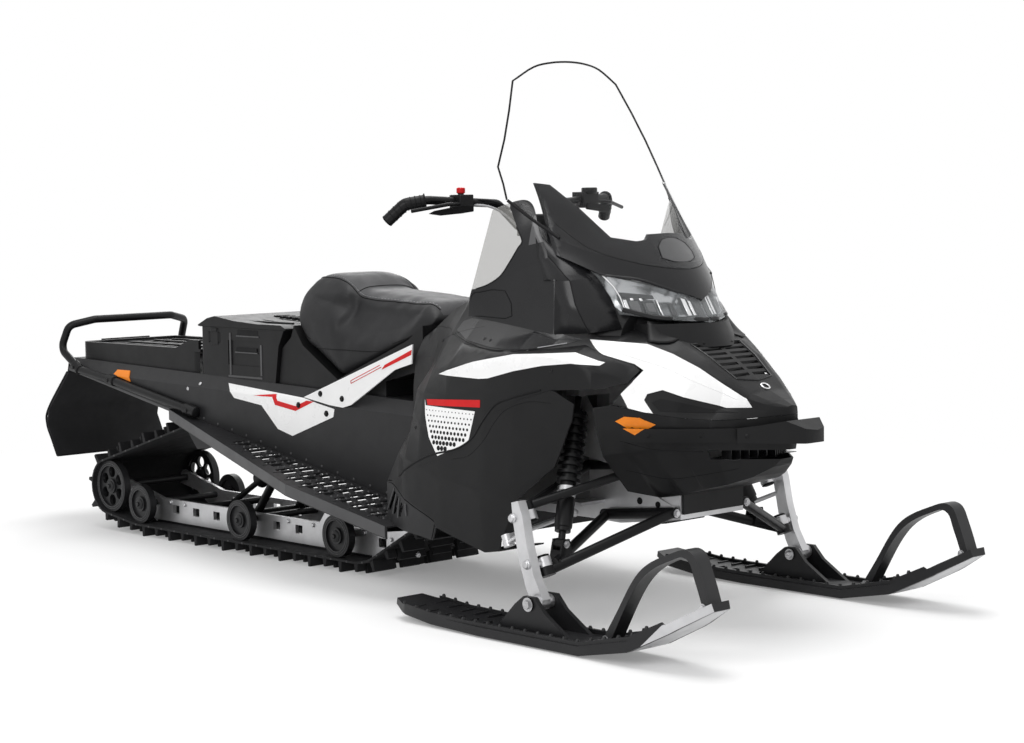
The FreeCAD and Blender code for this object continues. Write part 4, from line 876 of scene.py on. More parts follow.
def dress_headlamps():
    """Reflector, twin cell box and bright blades behind each clear lens, drawn on the right."""
    lamp_reflector()
    cells = Mesh()
    lens_blocks(cells, [[(y0, 772), (y1, 768), (y1, top), (y0, top)]
                        for y0, y1, top in ((-166, -140, 812), (-136, -114, 806))], 10, 26)
    lens_blocks(cells, [[(-168, 814), (-112, 808), (-112, 818), (-168, 826)]], 8, 20)
    pair("lamp_cells", cells, "gloss_black", bevel=1.5)
    faces = Mesh()
    lens_blocks(faces, [[(y0, 779), (y1, 776), (y1, top), (y0, top)]
                        for y0, y1, top in ((-161, -145, 804), (-132, -118, 799))], 8.6, 4)
    pair("lamp_cell_faces", faces, "window_grey", bevel=1.0)
    blades = Mesh()
    lens_blocks(blades, [[(y0, z0), (y1, z0), (y1, z1), (y0, z1)]
                         for y0, y1, z0, z1 in ((-172, -166, 776, 808), (-158, -153, 806, 812),
                                                (-142, -137, 804, 811), (-111, -108.5, 768, 806))], 6, 8)
    lens_blocks(blades, [[(y0, 766), (y1, 766), (y1, 808), (y0, 811)]
                         for y0, y1 in ((-52, -42), (-36, -29))], 6, 14)
    pair("lamp_blades", blades, "chrome", bevel=0.6)
    end = Mesh()
    lens_blocks(end, [[(-24, 763), (-3, 762), (-3, 806), (-24, 808)]], 4, 30)
    lens_blocks(end, [[(-86, 768), (-74, 767), (-76, 796), (-84, 796)]], 9, 10)
    pair("lamp_dark_end", end, "gloss_black", bevel=1.5)
    for name, line in (("upper", [(-14, 812), (-70, 833), (-135, 860), (-196, 878)]),
                       ("outer", [(-196, 878), (-181, 840), (-177, 815), (-177, 784)])):
        edge = Mesh()
        edge.tube([lamp_back(y, z, 0.5) for y, z in line], 1.8, 8)
        pair(f"lamp_{name}_edge", edge, "chrome")
    lip = [(-4, 755), (-40, 756), (-62, 753), (-100, 760), (-136, 766), (-180, 784)]
    lower = Mesh()
    lower.tube(smooth_line([lamp_back(y, z, 3) for y, z in lip], 6), 6.5, 10)
    pair("lamp_lower_lip", lower, "gloss_black")
    lamp_fairing()


def lamp_reflector():
    """Bright bowl behind the lens, deepest at half height."""
    columns, rows = 18, 8
    grid = []
    for i in range(columns + 1):
        y = -14 - 166 * i / columns
        low = 764 if y > -100 else 764 + (-100 - y) * 0.2
        high = 806 + (-y) * 0.33
        for k in range(rows + 1):
            t = k / rows
            grid.append(lamp_back(y, low + (high - low) * t, 12 + 30 * math.sin(math.pi * t) ** 0.8))
    bowl = Mesh()
    bowl.add(grid, grid_faces(columns, rows))
    pair("lamp_reflector", bowl, "lamp_silver")


def lamp_fairing():
    """The hood's raised edge under the headlamps."""
    columns, rows = 28, 7
    half, foot_z = 150, 748
    grid = []
    for i in range(columns + 1):
        y = -half + 2 * half * i / columns
        side = "right" if y < 0 else "left"
        reach = 26 + 40 * min(1.0, abs(y) / 80) ** 2 - 24 * max(0.0, (abs(y) - 100) / 50)
        start, normal = drop_near((min(-3, y) if y < 0 else max(3, y), 752), "front", ("headlamp_" + side,))
        start = Vector((start.x - 1, y, foot_z + 8 * (abs(y) / half) ** 3))
        away = Vector((1, 0.0072 * y, 0)).normalized()
        foot = start + away * reach
        places = [drop_near((foot.x + dx, foot.y), "top", ("hood",))[0] for dx in (-9, 0, 9)]
        end = Vector((foot.x, foot.y, max(p.z for p in places) + 0.6))
        bend = start * 0.45 + end * 0.55
        bend.z = end.z + (start.z - end.z) * 0.30
        for k in range(rows + 1):
            t = k / rows
            grid.append(start * (1 - t) ** 2 + bend * (2 * t * (1 - t)) + end * t * t)
    fairing = Mesh()
    fairing.add(grid, grid_faces(columns, rows))
    thicken(piece("lamp_fairing", fairing, "black_plastic", angle=60))
    side_fairings()


def side_fairings():
    """Facets that close the body between each wing and the headlamp's outer tip."""
    wing_line = [(816, -268, 992), (838, -283, 912), (860, -286, 880), (866, -289, 857),
                 (899, -281.5, 856), (906, -291, 806), (919, -306.5, 726)]
    fold_line = [(824, -259, 992), (862, -268, 918), (902, -267, 884), (918, -266, 870),
                 (932, -262, 857), (950, -262, 798), (990, -256, 728)]
    lamp_line = [(832, -252, 992), (884, -246, 926), (945, -213, 884), (956, -207, 874),
                 (966, -202, 866), (1004, -190, 814), (1046, -196, 738)]
    fairing = Mesh()
    fairing.add(wing_line + fold_line + lamp_line, grid_faces(2, len(wing_line) - 1))
    for side, form in (("right", fairing), ("left", fairing.mirrored())):
        thicken(piece("side_fairing_" + side, form, "gloss_black", angle=12))
    # Dark line along the fold between the facets: painted shade of the fold
    crease = Mesh()
    crease.tube([Vector(p) + Vector((2, -2, 1)) for p in fold_line[1:]], 1.2, 6)
    pair("side_fairing_crease", crease, "deep_black")


def dress_brace_and_tunnel():
    y = TUNNEL_HALF + BRACE_OUT
    stripe = Mesh()
    stripe.prism([(158, -y, 597), (172, -y, 611), (287, -y, 657), (284, -y, 643)], (0, -0.9, 0))
    for a, b in (((22, 552), (156, 604)), ((22, 560), (150, 609)), ((22, 552), (22, 560))):
        stripe.tube([(a[0], -y, a[1]), (b[0], -y, b[1])], 1.1, 6)
    pair("brace_red_stripe", stripe, "red_paint")
    bolts = Mesh()
    for x, z in ((-118, 515), (-20, 506)):
        bolts.bolt((x, -y + 0.4, z), (0, -1, 0), 6.5, 4)
    for x, z in ((-225, 476), (-96, 459)):
        bolts.bolt((x, -TUNNEL_HALF - 1.4, z), (0, -1, 0), 6.5, 4)
    pair("brace_bolts", bolts, "black_steel")
    tunnel = ("tunnel",)
    patch = [(-587, 520), (-208, 497), (-60, 474), (-66, 451), (-258, 384), (-327, 400), (-405, 465),
             (-540, 479)]
    laid_pair("tunnel_badge", tunnel, patch, "white_gloss", lift=0.8)
    zigzag = [(-442, 492), (-350, 492), (-338, 470), (-240, 458), (-156, 489), (-190, 490), (-240, 472),
              (-326, 483), (-338, 501)]
    laid_pair("tunnel_red_line", tunnel, zigzag, "red_paint", lift=1.6)
    amber = [(-1194, 518), (-1185, 532), (-1116, 532), (-1097, 500)]
    laid_pair("rear_reflector", tunnel, amber, "amber_lens", lift=3.0)
    screws = heads_on([(-724, 512), (-781, 494)], "right", tunnel, [(0, 6), (2, 6), (3.4, 4)])
    pair("tunnel_bright_screws", screws, "steel")
    # Lighter grey strip along the tunnel's lower flange: a painted highlight where the flange catches the
    # light
    strip = [(-1462, 520), (-1462, 526), (-872, 424), (-872, 400)]
    laid_pair("tunnel_flange_highlight", tunnel, strip, "edge_grey", lift=0.6)
    rivets = Mesh()
    for i in range(26):
        x = -1420 + i * 72
        at, normal = drop_near((x, 262 - 0.176 * x + 22), "right", tunnel)
        if abs(at.y) < TUNNEL_HALF + 3:
            rivets.turned(at - normal, at + normal, [(0, 4), (1.6, 4), (2.6, 2.4)], 10)
    pair("tunnel_rivets", rivets, "edge_grey")


def low_line(x):
    """Height of the tunnel's lower edge, which rises to the rear."""
    return 262.0 - math.tan(math.radians(10)) * x


def dress_boards():
    """Lighter edge strip, cross bars and raised teeth over the openings of the boards."""
    edge = Mesh()
    for (x0, y0), (x1, y1) in (((-866, 239), (-40, 420.6)), ((-40, 420.6), (388, 420.6))):
        outline = [(x0, -y0, low_line(x0) + 12), (x1, -y1, low_line(x1) + 12),
                   (x1, -y1, low_line(x1) - 19), (x0, -y0, low_line(x0) - 19)]
        edge.prism(outline, (0.0, -1.2, 0))
    pair("board_edge", edge, "edge_grey", bevel=0.8)
    bars = Mesh()
    teeth = Mesh()
    tail_x, bend_x, board_width = -870, -40, 195
    bar_width, bar_lift = 7, 6.5
    for i in range(11):
        x = -470 + i * 74
        reach = min(1.0, (x + 30 - tail_x) / (bend_x - tail_x))
        y0, y1 = TUNNEL_HALF + 12, TUNNEL_HALF + board_width * reach - 16
        a = x + 20.5
        b = a + bar_width
        h0, h1 = low_line(a) + bar_lift, low_line(b) + bar_lift
        bars.prism([(a, -y0, h0), (b, -y0, h1), (b, -y1, h1), (a, -y1, h0)], (0, 0, 7))
        for k in range(int((y1 - y0) / 22)):
            y = y0 + 8 + k * 22
            for dx, lift in ((24, 13), (61, 11.5)):
                z = low_line(x + dx) + lift
                teeth.turned((x + dx, -y, z - 1), (x + dx, -y, z + 6), [(0, 4.2), (4.6, 2.6)], 6)
    pair("board_bars", bars, "dark_painted", bevel=0.8)
    pair("board_teeth", teeth, "edge_grey")


def dress_rear():
    dress_flap()
    bumper_clamps()
    x, z = TUNNEL_REAR, TUNNEL_TOP_REAR
    optics = Mesh()
    for k in range(7):
        y = -72 + 24 * k
        optics.turned((x + 7, y, z + 33), (x + 3.5, y, z + 33), [(0, 9), (2.2, 9), (3.2, 7), (2.2, 5)], 18)
    piece("tail_lamp_optics", optics, "red_lens")
    bezel = Mesh()
    loop = [(x + 7, -94, z + 12), (x + 7, 94, z + 12), (x + 7, 94, z + 54), (x + 7, -94, z + 54)]
    bezel.tube(loop, 3.0, 8, closed=True)
    piece("tail_lamp_bezel", bezel, "black_plastic")
    ribs = Mesh()
    for side in (-1, 1):
        for x0, x1, y0, y1, z0, z1 in ((-870, -770, 150, 186, 604, 611), (-1360, -900, 40, 60, 606, 610.5),
                                       (-1360, -900, 112, 124, 606, 610.5)):
            low, high = sorted((side * y0, side * y1))
            ribs.box((x0, low, z0), (x1, high, z1))
    piece("rack_ribs", ribs, "black_plastic", bevel=1.5)


def dress_flap():
    """Upright ribs, cross ribs and a hem round the snow flap."""
    x, z = TUNNEL_REAR, TUNNEL_TOP_REAR
    back = [(x - 14, z - 60), (x - 136, z - 177), (x - 151, z - 228), (x - 119, z - 285), (x - 94, z - 332)]
    ribs = Mesh()
    for i in range(20):
        y = -200 + i * 21
        outer = [(a - 2.4, y, b - 1) for a, b in back]
        inner = [(a + 2.0, y, b + 1) for a, b in reversed(back)]
        ribs.prism(outer + inner, (0, 3.4, 0))
    piece("flap_ribs", ribs, "flap_rubber")
    cross = Mesh()
    for a, b in ((x - 143, z - 201), (x - 132, z - 262)):
        cross.tube([(a - 3, -214, b), (a - 3, 214, b)], 3.4, 8)
    piece("flap_cross_ribs", cross, "flap_rubber")
    hem = Mesh()
    line = [(x - 12, z - 48), (x - 136, z - 176), (x - 150, z - 228), (x - 119, z - 284), (x - 90, z - 333)]
    for y in (-219.5, 219.5):
        hem.tube(smooth_line([(a, y, b) for a, b in line], 6), 3.6, 8)
    hem.tube([(x - 90, -219, z - 333), (x - 90, 219, z - 333)], 3.6, 8)
    piece("flap_hem", hem, "rubber_black")


def bumper_clamps():
    """Sleeves round the grab tube where it is bolted to the tunnel."""
    x, z = TUNNEL_REAR, TUNNEL_TOP_REAR
    clamps = Mesh()
    for a, b in (((x + 746, z - 135), (x + 690, z - 125.6)), ((x + 300, z - 61.6), (x + 264, z - 56)),
                 ((x + 95, z - 34), (x + 66, z - 17))):
        p, q = Vector((a[0], -237.8, a[1])), Vector((b[0], -237.8, b[1]))
        length = (q - p).length
        clamps.turned(p, q, [(-4, 14), (-2, 17), (length - 2, 17), (length, 14)], 18)
        clamps.bolt((p + q) / 2 + Vector((0, -15, 0)), (0, -1, 0), 6, 4)
    pair("bumper_clamps", clamps, "black_plastic", bevel=0.6)


def dress_box():
    y = 200.0
    # The slots are black boxes almost flush with the box side: painted shade of the recesses
    dark = Mesh()
    for x0, x1, z0, z1 in ((-552, -448, 667, 683), (-560, -456, 618, 629), (-700, -640, 642, 670)):
        dark.box((x0, -y - 0.5, z0), (x1, -y + 0.8, z1))
    pair("box_slot_shade", dark, "deep_black")
    # The lighter grey lips just under the two upper slots are painted highlights on their lower edges; the
    # other three strips are lighter grey outlines of the lower panel
    lips = Mesh()
    for x0, x1, z in ((-556, -444, 664), (-564, -452, 615)):
        lips.box((x0, -y - 2.0, z - 2.5), (x1, -y + 0.5, z + 1.5))
    for x0, x1, z0, z1 in ((-592, -584, 545, 672), (-600, -430, 538, 544), (-438, -430, 548, 640)):
        lips.box((x0, -y - 1.8, z0), (x1, -y + 0.5, z1))
    pair("box_lips", lips, "edge_grey", bevel=0.6)
    latch = Mesh()
    latch.box((-688, -y - 1.6, 632), (-650, -y + 3, 682))
    latch.box((-684, -y - 3.2, 672), (-654, -y, 684))
    pair("box_latches", latch, "black_plastic", bevel=1.5)
    lid = Mesh()
    for k in range(6):
        x = -600 + 30 * k
        lid.box((x, -26, 700), (x + 14, 26, 716 - 1.2 * k))
    for side in (-1, 1):
        lid.box((-640, side * 150 - 5, 700), (-340, side * 150 + 5, 708))
    piece("lid_ribs", lid, "black_plastic", body="lid", bevel=1.5)
    seal = Mesh()
    loop = [(-745, -200, 688.6), (-314, -200, 688.6), (-314, 200, 688.6), (-745, 200, 688.6)]
    seal.tube(loop, 2.0, 8, closed=True)
    piece("lid_seal", seal, "rubber_black", body="lid")


def dress_wheels():
    caps = Mesh()
    tyres = Mesh()
    along, up = Vector((1, 0, 0)), Vector((0, 0, 1))
    y = -WHEEL_FACE
    for x, z, r in ((-1290, 144, 84), (-1123, 100, 62), (-586, 100, 62), (-115, 100, 62)):
        caps.turned((x, y + 2, z), (x, y - 8, z), [(0, 17), (3, 17), (6, 13), (7, 8)], 24)
        caps.turned((x, y - 3, z), (x, y - 12, z), [(0, 7.5), (6, 7.5), (7.5, 6)], 6)
        for ring in (r - 15.5, r - 9):
            tyres.tube(circle(Vector((x, y + 0.4, z)), along, up, ring, 36), 1.6, 6, closed=True)
    pair("wheel_caps", caps, "wheel_black")
    pair("wheel_rings", tyres, "edge_grey")
    dress_rails()


def dress_rails():
    sliders = Mesh()
    bolts = Mesh()
    brackets = Mesh()
    spots = [(-1040, 106), (-960, 106), (-720, 106), (-640, 106), (-420, 106), (-300, 106), (-60, 108),
             (60, 100), (150, 92), (-175, 190), (160, 130), (176, 70)]
    for side in (-1, 1):
        sliders.box((-1110, 118 * side - 9, 39.2), (-30, 118 * side + 9, 45))
        for x, z in spots:
            bolts.bolt((x, 124 * side, z), (0, side, 0), 6, 5)
        y = 124.4 * side
        brackets.prism([(-196, y, 118), (-152, y, 118), (-158, y, 196), (-190, y, 196)], (0, 0.8 * side, 0))
    piece("slide_strips", sliders, "deep_black")
    piece("rail_bolts", bolts, "steel")
    piece("rail_brackets", brackets, "steel")


def belt_stations(extra, shift):
    """Places along the belt, extra outside its inner face, each with its direction."""
    inner = BELT_INNER
    wheels = [(-1290, inner + 106, 84), (-1123, inner + 62, 62), (-20, inner + 180, 180), (400, 337, 80),
              (-700, 345, 60)]
    angles = []
    for (x0, z0, r0), (x1, z1, r1) in zip(wheels, wheels[1:] + wheels[:1]):
        turn = math.asin((r1 - r0) / math.hypot(x1 - x0, z1 - z0))
        angles.append(math.atan2(z1 - z0, x1 - x0) - math.pi / 2 - turn)
    line = [wheel_point(wheels[0], extra, angles[0])]
    for i in range(1, len(wheels) + 1):
        a, b = angles[i - 1], angles[i % len(wheels)]
        while b < a:
            b += 2 * math.pi
        line += [wheel_point(wheels[i % len(wheels)], extra, a + (b - a) * k / 40) for k in range(41)]
    lengths = [(b - a).length for a, b in zip(line, line[1:])]
    rows = 2 * round(sum(lengths) / TRACK_PITCH / 2)
    stations = []
    for i in range(rows):
        s = sum(lengths) * (i + shift) / rows
        k = 0
        while s > lengths[k]:
            s -= lengths[k]
            k += 1
        d = (line[k + 1] - line[k]).normalized()
        p = line[k] + d * s
        stations.append((Vector((p.x, 0, p.y)), Vector((d.x, 0, d.y)), Vector((d.y, 0, -d.x))))
    return stations


def wheel_point(wheel, extra, angle):
    x, z, r = wheel
    return Vector((x + (r + extra) * math.cos(angle), z + (r + extra) * math.sin(angle)))


def belt_tile(mesh, centre, along, out, reach, half, height):
    """A low plate on the belt."""
    side = Vector((0, half, 0))
    quad = [centre - along * reach - side, centre + along * reach - side,
            centre + along * reach + side, centre - along * reach + side]
    mesh.prism([q - out * 0.2 for q in quad], out * height)


def dress_track():
    """Between the lug rows: guide clips, windows and rod ends. At every second row: edge lugs."""
    clips = Mesh()
    windows = Mesh()
    rods = Mesh()
    for at, along, out in belt_stations(BELT, 0.5):
        for y in (-100, 100):
            belt_tile(clips, at + Vector((0, y, 0)), along, out, 12, 13, 1.5)
        # The windows are thin black tiles on the belt: painted shade standing for its openings
        for y in (-172, 172):
            belt_tile(windows, at + Vector((0, y, 0)), along, out, 13, 15, 0.8)
        for side in (-1, 1):
            c = at + Vector((0, TRACK_HALF * side, 0)) - out * 3
            rods.turned(c, c + Vector((0, side, 0)), [(0, 3.4), (0.9, 3.4), (1.3, 2.2)], 8)
    lugs = Mesh()
    for at, along, out in belt_stations(BELT, 0.0)[::2]:
        base, tip, high = along * 9, along * 5, out * 24
        for y in (-199, 168):
            corner = at + Vector((0, y, 0))
            lugs.prism([corner - base - out, corner + base - out, corner + tip + high, corner - tip + high],
                       (0, 31, 0))
    piece("track_edge_lugs", lugs, "track_rubber", bevel=1.5)
    piece("track_clips", clips, "steel")
    piece("track_window_shade", windows, "deep_black")
    piece("track_rod_ends", rods, "edge_grey")


def dress_front_end():
    dress_shocks()
    dress_ski_legs()
    gusset = Mesh()
    gusset.prism([(900, -201, 565), (925, -201, 565), (1028, -201, 420), (1010, -201, 398), (909, -201, 414)],
                 (0, 3, 0))
    pair("inner_gusset", gusset, "bare_aluminium", bevel=0.6)
    head = Mesh()
    head.turned((905, -222, 583), (905, -236, 583), [(0, 12), (5, 12), (9, 8)], 6)
    pair("shock_top_bolt", head, "steel")
    plate = Mesh()
    outline = [(955, 372), (997, 364), (1014, 326), (1075, 322), (1158, 290), (1158, 268), (960, 241)]
    plate.prism([(x, -119.4, z) for x, z in outline], (0, -1.4, 0))
    pair("bulkhead_plate", plate, "bare_aluminium", bevel=0.5)
    # The black disc is painted shade standing for the hole in the plate
    hole = Mesh()
    hole.turned((1030, -120.6, 300), (1030, -122, 300), [(0, 9), (1.2, 9)], 20)
    hole.bolt((1092, -120.8, 296), (0, -1, 0), 6, 4)
    pair("bulkhead_plate_bolts", hole, "deep_black")


def dress_shocks():
    top, foot = Vector((921, -225, 563.6)), Vector((994, -365, 217))
    whole = foot - top
    d = whole.normalized()
    for name, share, profile, material in (
            ("shock_collar", 0.615, [(0, 21), (3, 25), (14, 25.5), (16, 21.5), (26, 21.5), (28, 20.5)],
             "steel"),
            ("shock_top_cup", 0.10, [(0, 18), (2, 26), (12, 30), (15, 30), (16, 20)], "gloss_black"),
            ("shock_can", 0.70, [(0, 21.2), (2, 22.4), (72, 22.4), (76, 19)], "black_steel")):
        part = Mesh()
        part.turned(top + d * whole.length * share, foot, profile, 28)
        pair(name, part, material)
    bolts = Mesh()
    for side in (-1, 1):
        bolts.bolt((994 + 19.4 * side, -365, 217), (side, 0, 0), 7, 5)
    bolts.bolt((910, -132, 258), (-1, 0, 0), 8, 6)
    bolts.bolt((1165, -132, 282), (1, 0, 0), 8, 6)
    pair("arm_bolts", bolts, "steel")


def dress_ski_legs():
    """Boots and knobs on the kingpin's line, and the heads of the ski bolt."""
    body = "ski_group_{side}"
    low, up = Vector((1022, -445, 170)), Vector((-0.409, 0, 0.9125))
    boots = Mesh()
    for t in (26.6, 116):
        c = low + up * t
        boots.turned(c, c + up, [(0, 12), (1.5, 17), (4, 17.5), (5.6, 14)], 20)
    pair("ball_joint_boots", boots, "rubber_black", body=body)
    knobs = Mesh()
    for t in (16, 134):
        c = low + up * t + Vector((0, -55, 0))
        knobs.turned(c, c + Vector((0, -1, 0)), [(0, 12), (4, 12), (7, 9), (9, 9), (11, 6)], 16)
    pair("spindle_knobs", knobs, "steel", body=body, bevel=0.5)
    bolts = Mesh()
    bolts.bolt((1049, -533.8, 96), (0, -1, 0), 11, 7)
    bolts.bolt((1049, -441.2, 96), (0, 1, 0), 11, 7)
    bolts.turned((1049, -534.6, 96), (1049, -533, 96), [(0, 17), (1.4, 17)], 24)
    pair("ski_bolts", bolts, "steel", body=body)


def dress_skis():
    body = "ski_group_{side}"
    ski = ("ski_right",)
    edge_line = [(1440, 53), (1520, 90), (1626, 151), (1620, 169), (1560, 140), (1500, 108)]
    laid_pair("ski_tip_edge", ski, edge_line, "bright_edge", lift=0.8, body=body)
    under = [(1400, -545), (1540, -536), (1622, -512), (1622, -463), (1540, -439), (1400, -430)]
    laid_pair_under("ski_tip_sole", under)
    studs = Mesh()
    for x in range(620, 1480, 44):
        for y in (-SKI_Y - 65.5, -SKI_Y + 65.5):
            above = Vector((x, y, 400)) / 1000
            at, normal, index, distance = tree_of(ski).ray_cast(above, Vector((0, 0, -1)))
            if at is not None:
                c = at * 1000
                studs.turned(c + Vector((0, 0, -1)), c + Vector((0, 0, 6)), [(0, 5.5), (4, 4.5), (7, 3.0)], 8)
    pair("ski_studs", studs, "ski_plastic", body=body)
    ribs = Mesh()
    for k in range(16):
        x = 640 + 50 * k
        if 920 < x < 1200:
            continue
        z = 24 + max(0, x - 1250) * 0.2 + max(0, 720 - x) * 0.11
        for s in (-1, 1):
            a, b = -SKI_Y + s * 16, -SKI_Y + s * 60
            ribs.prism([(x - 3, a, z), (x + 3, a, z), (x + 3, b, z), (x - 3, b, z)], (0, 0, 9))
    pair("ski_ribs", ribs, "ski_plastic", body=body, bevel=0.8)
    runner = Mesh()
    for s in (-1, 1):
        runner.tube([(820, -SKI_Y + s * 13, 4.4), (1200, -SKI_Y + s * 13, 4.4)], 3.2, 8)
    pair("ski_runner", runner, "steel", body=body)
    bolts = Mesh()
    for x, z in ((1586, 153), (1284, 40)):
        for s in (-1, 1):
            bolts.bolt((x, -SKI_Y + s * 22.6, z), (0, s, 0), 7.5, 5)
    pair("strap_bolts", bolts, "steel", body=body)


def laid_pair_under(name, outline):
    for side, sign in (("right", 1), ("left", -1)):
        own = [(x, y * sign) for x, y in outline]
        laid(f"{name}_{side}", (f"ski_{side}",), own, "under", "bright_edge", lift=0.7,
             body=f"ski_group_{side}")


def dress_controls():
    steer = "steering"
    grip_ribs()
    knob = Mesh()
    knob.turned((500, -232, 1078), (500, -232, 1100),
                [(0, 9), (2, 11.5), (13, 11.5), (15, 10), (15.8, 6)], 20)
    piece("stop_knob", knob, "red_paint", body=steer)
    block = Mesh()
    block.box((480, -254, 1037), (522, -206, 1075))
    block.box((476, -246, 1048), (481, -216, 1066))
    piece("switch_block_right", block, "black_plastic", body=steer, bevel=4.0)
    brake = Mesh()
    brake.box((478, 202, 1034), (524, 262, 1078))
    brake.turned((516, 232, 1072), (516, 232, 1100), [(0, 20), (3, 22), (16, 22), (18, 20)], 24)
    piece("brake_housing", brake, "black_plastic", body=steer, bevel=4.0)
    lever = Mesh()
    lever.prism([(520, -212, 1048), (518, -262, 1045), (498, -326, 1034), (488, -338, 1026),
                 (498, -306, 1021), (516, -250, 1026), (520, -212, 1030)], (9, 0, 0))
    pair("lever_blades", lever, "rubber_black", body=steer, bevel=2.0)
    rockers = Mesh()
    for y in (-241, -221, 221, 241):
        rockers.box((471.5, y - 8, 1050), (475, y + 8, 1064))
    piece("switch_rockers", rockers, "label_grey", body=steer, bevel=1.0)
    clamp = Mesh()
    for y in (-24, 24):
        for x in (514, 546):
            clamp.bolt((x, y, 1008.5), (0, 0, 1), 5.5, 5)
    piece("bar_clamp_bolts", clamp, "steel", body=steer)
    pad = Mesh()
    pad.box((500, -58, 990), (560, 58, 1020))
    piece("bar_pad", pad, "rubber_black", body=steer, bevel=7.0)
    control_cables()


def grip_ribs():
    """Rings round each grip, with a collar at its inner end and a cap at its outer one."""
    inner, corner, end = Vector((474, -337, 1060)), Vector((442, -376, 1052)), Vector((404, -404, 1010))
    path = smooth_line([inner, (inner + corner) / 2, corner * 0.86 + inner * 0.07 + end * 0.07,
                        (corner + end) / 2, end], 8)
    grips = Mesh()
    for a, b in zip(path[3:-2:4], path[4:-1:4]):
        d = (b - a).normalized()
        grips.turned(a - d * 1.4, a + d * 1.4, [(0, 16.4), (0.5, 17.6), (2.3, 17.6), (2.8, 16.4)], 18)
    first = path[0] - (path[1] - path[0]).normalized() * 4
    grips.turned(first, path[1], [(0, 13), (1, 19.5), (4, 19.5), (5, 16)], 20)
    grips.turned(path[-1], path[-1] * 2 - path[-2], [(-1, 16.8), (2.5, 16.8), (4, 14)], 20)
    pair("grip_ribs", grips, "rubber_black", body="steering")


# Routes in millimetres, from the housings on the bar to the collar of the post
THROTTLE_ROUTE = [(505, -205, 1046), (530, -178, 1050), (560, -128, 1024), (586, -80, 962), (600, -40, 918),
                  (598, -22, 888)]
SWITCH_ROUTE = [(500, -203, 1058), (528, -170, 1064), (566, -116, 1040), (598, -66, 974), (612, -30, 922),
                (606, -12, 888)]
BRAKE_ROUTE = [(505, 203, 1046)] + [(x, -y, z) for x, y, z in THROTTLE_ROUTE[1:]]


def control_cables():
    for name, route, width, material in (("throttle_cable", THROTTLE_ROUTE, 0.0065, "cable_grey"),
                                         ("switch_cable", SWITCH_ROUTE, 0.006, "rubber_black"),
                                         ("brake_hose", BRAKE_ROUTE, 0.0075, "rubber_black")):
        curve = bpy.data.curves.new(name, "CURVE")
        curve.dimensions = "3D"
        spline = curve.splines.new("NURBS")
        spline.points.add(len(route) - 1)
        for point, (x, y, z) in zip(spline.points, route):
            point.co = (x / 1000, y / 1000, z / 1000, 1)
        spline.order_u = 3
        spline.use_endpoint_u = True
        spline.resolution_u = 16
        curve.materials.append(MATERIALS[material])
        ob = bpy.data.objects.new(name, curve)
        bpy.context.collection.objects.link(ob)
        line = evaluated(ob)
        bpy.data.meshes.remove(line)
        curve.bevel_depth = width / 2
        curve.bevel_resolution = 3
        curve.use_fill_caps = True
        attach(ob, "steering")


def dress_dash():
    gauge = Mesh()
    at, normal = drop_near((612, 0), "top", ("dash",))
    d = Vector((-0.5, 0, 0.86)).normalized()
    c = at - d * 4
    gauge.turned(c, c + d, [(0, 50), (10, 50), (16, 47), (17, 43), (13, 42)], 36)
    piece("gauge_case", gauge, "black_plastic")
    face = Mesh()
    face.turned(c + d * 12, c + d * 14, [(0, 42), (1, 42)], 36)
    piece("gauge_face", face, "deep_black")
    u = Vector((0, 1, 0))
    v = d.cross(u)
    marks = Mesh()
    for k in range(25):
        t = math.radians(-30 + 240 * k / 24)
        out = u * math.cos(t) + v * math.sin(t)
        r0 = 30 if k % 4 == 0 else 34
        marks.tube([c + d * 13.4 + out * r0, c + d * 13.4 + out * 38], 0.8, 6)
    piece("gauge_marks", marks, "white_gloss")
    needle = Mesh()
    t = math.radians(200)
    out = u * math.cos(t) + v * math.sin(t)
    needle.tube([c + d * 14.2 - out * 6, c + d * 14.2 + out * 31], 1.1, 6)
    needle.turned(c + d * 13, c + d * 18, [(0, 5), (3, 5), (4, 3)], 16)
    piece("gauge_needle", needle, "red_paint")
    key = Mesh()
    at, normal = drop_near((560, -110), "top", ("dash",))
    key.turned(at, at + normal, [(-1, 15), (3, 15), (5, 12), (6, 9)], 24)
    key.turned(at + normal * 5, at + normal * 20, [(0, 4), (10, 4), (11, 9), (16, 9), (18, 6)], 16)
    piece("ignition_lock", key, "steel")
    switches = Mesh()
    for y in (80, 110, 140):
        at, normal = drop_near((560, y), "top", ("dash",))
        switches.box((at.x - 14, y - 9, at.z - 2), (at.x + 14, y + 9, at.z + 6))
    piece("dash_switches", switches, "gloss_black", bevel=1.5)


# Seat: voxel, inset and cap of the swelling in metres, and rounds of smoothing
SEAT_VOXEL = 0.006
SEAT_INSET = 0.002
SEAT_SWELL = 0.007
SEAT_ROUNDING = 26
SEAT_RELAXING = 14
SEAT_PRESSURE = 3.0
SEAT_FRAMES = 20
# Thigh scoops: outline in the side view, depth and start off the middle in metres, soft edge in millimetres
SCOOP = [(-250, 796), (-206, 766), (-166, 752), (-112, 716), (-87, 682), (-21, 649), (59, 647), (160, 667),
         (208, 700), (238, 746), (225, 776), (100, 786), (-60, 792), (-120, 802)]
SCOOP_DEPTH = 0.017
SCOOP_FROM = 0.075
SCOOP_EDGE = 46.0


def soften(bm, rounds):
    for k in range(rounds):
        bmesh.ops.smooth_vert(bm, verts=bm.verts, factor=0.5, use_axis_x=True, use_axis_y=True,
                              use_axis_z=True)


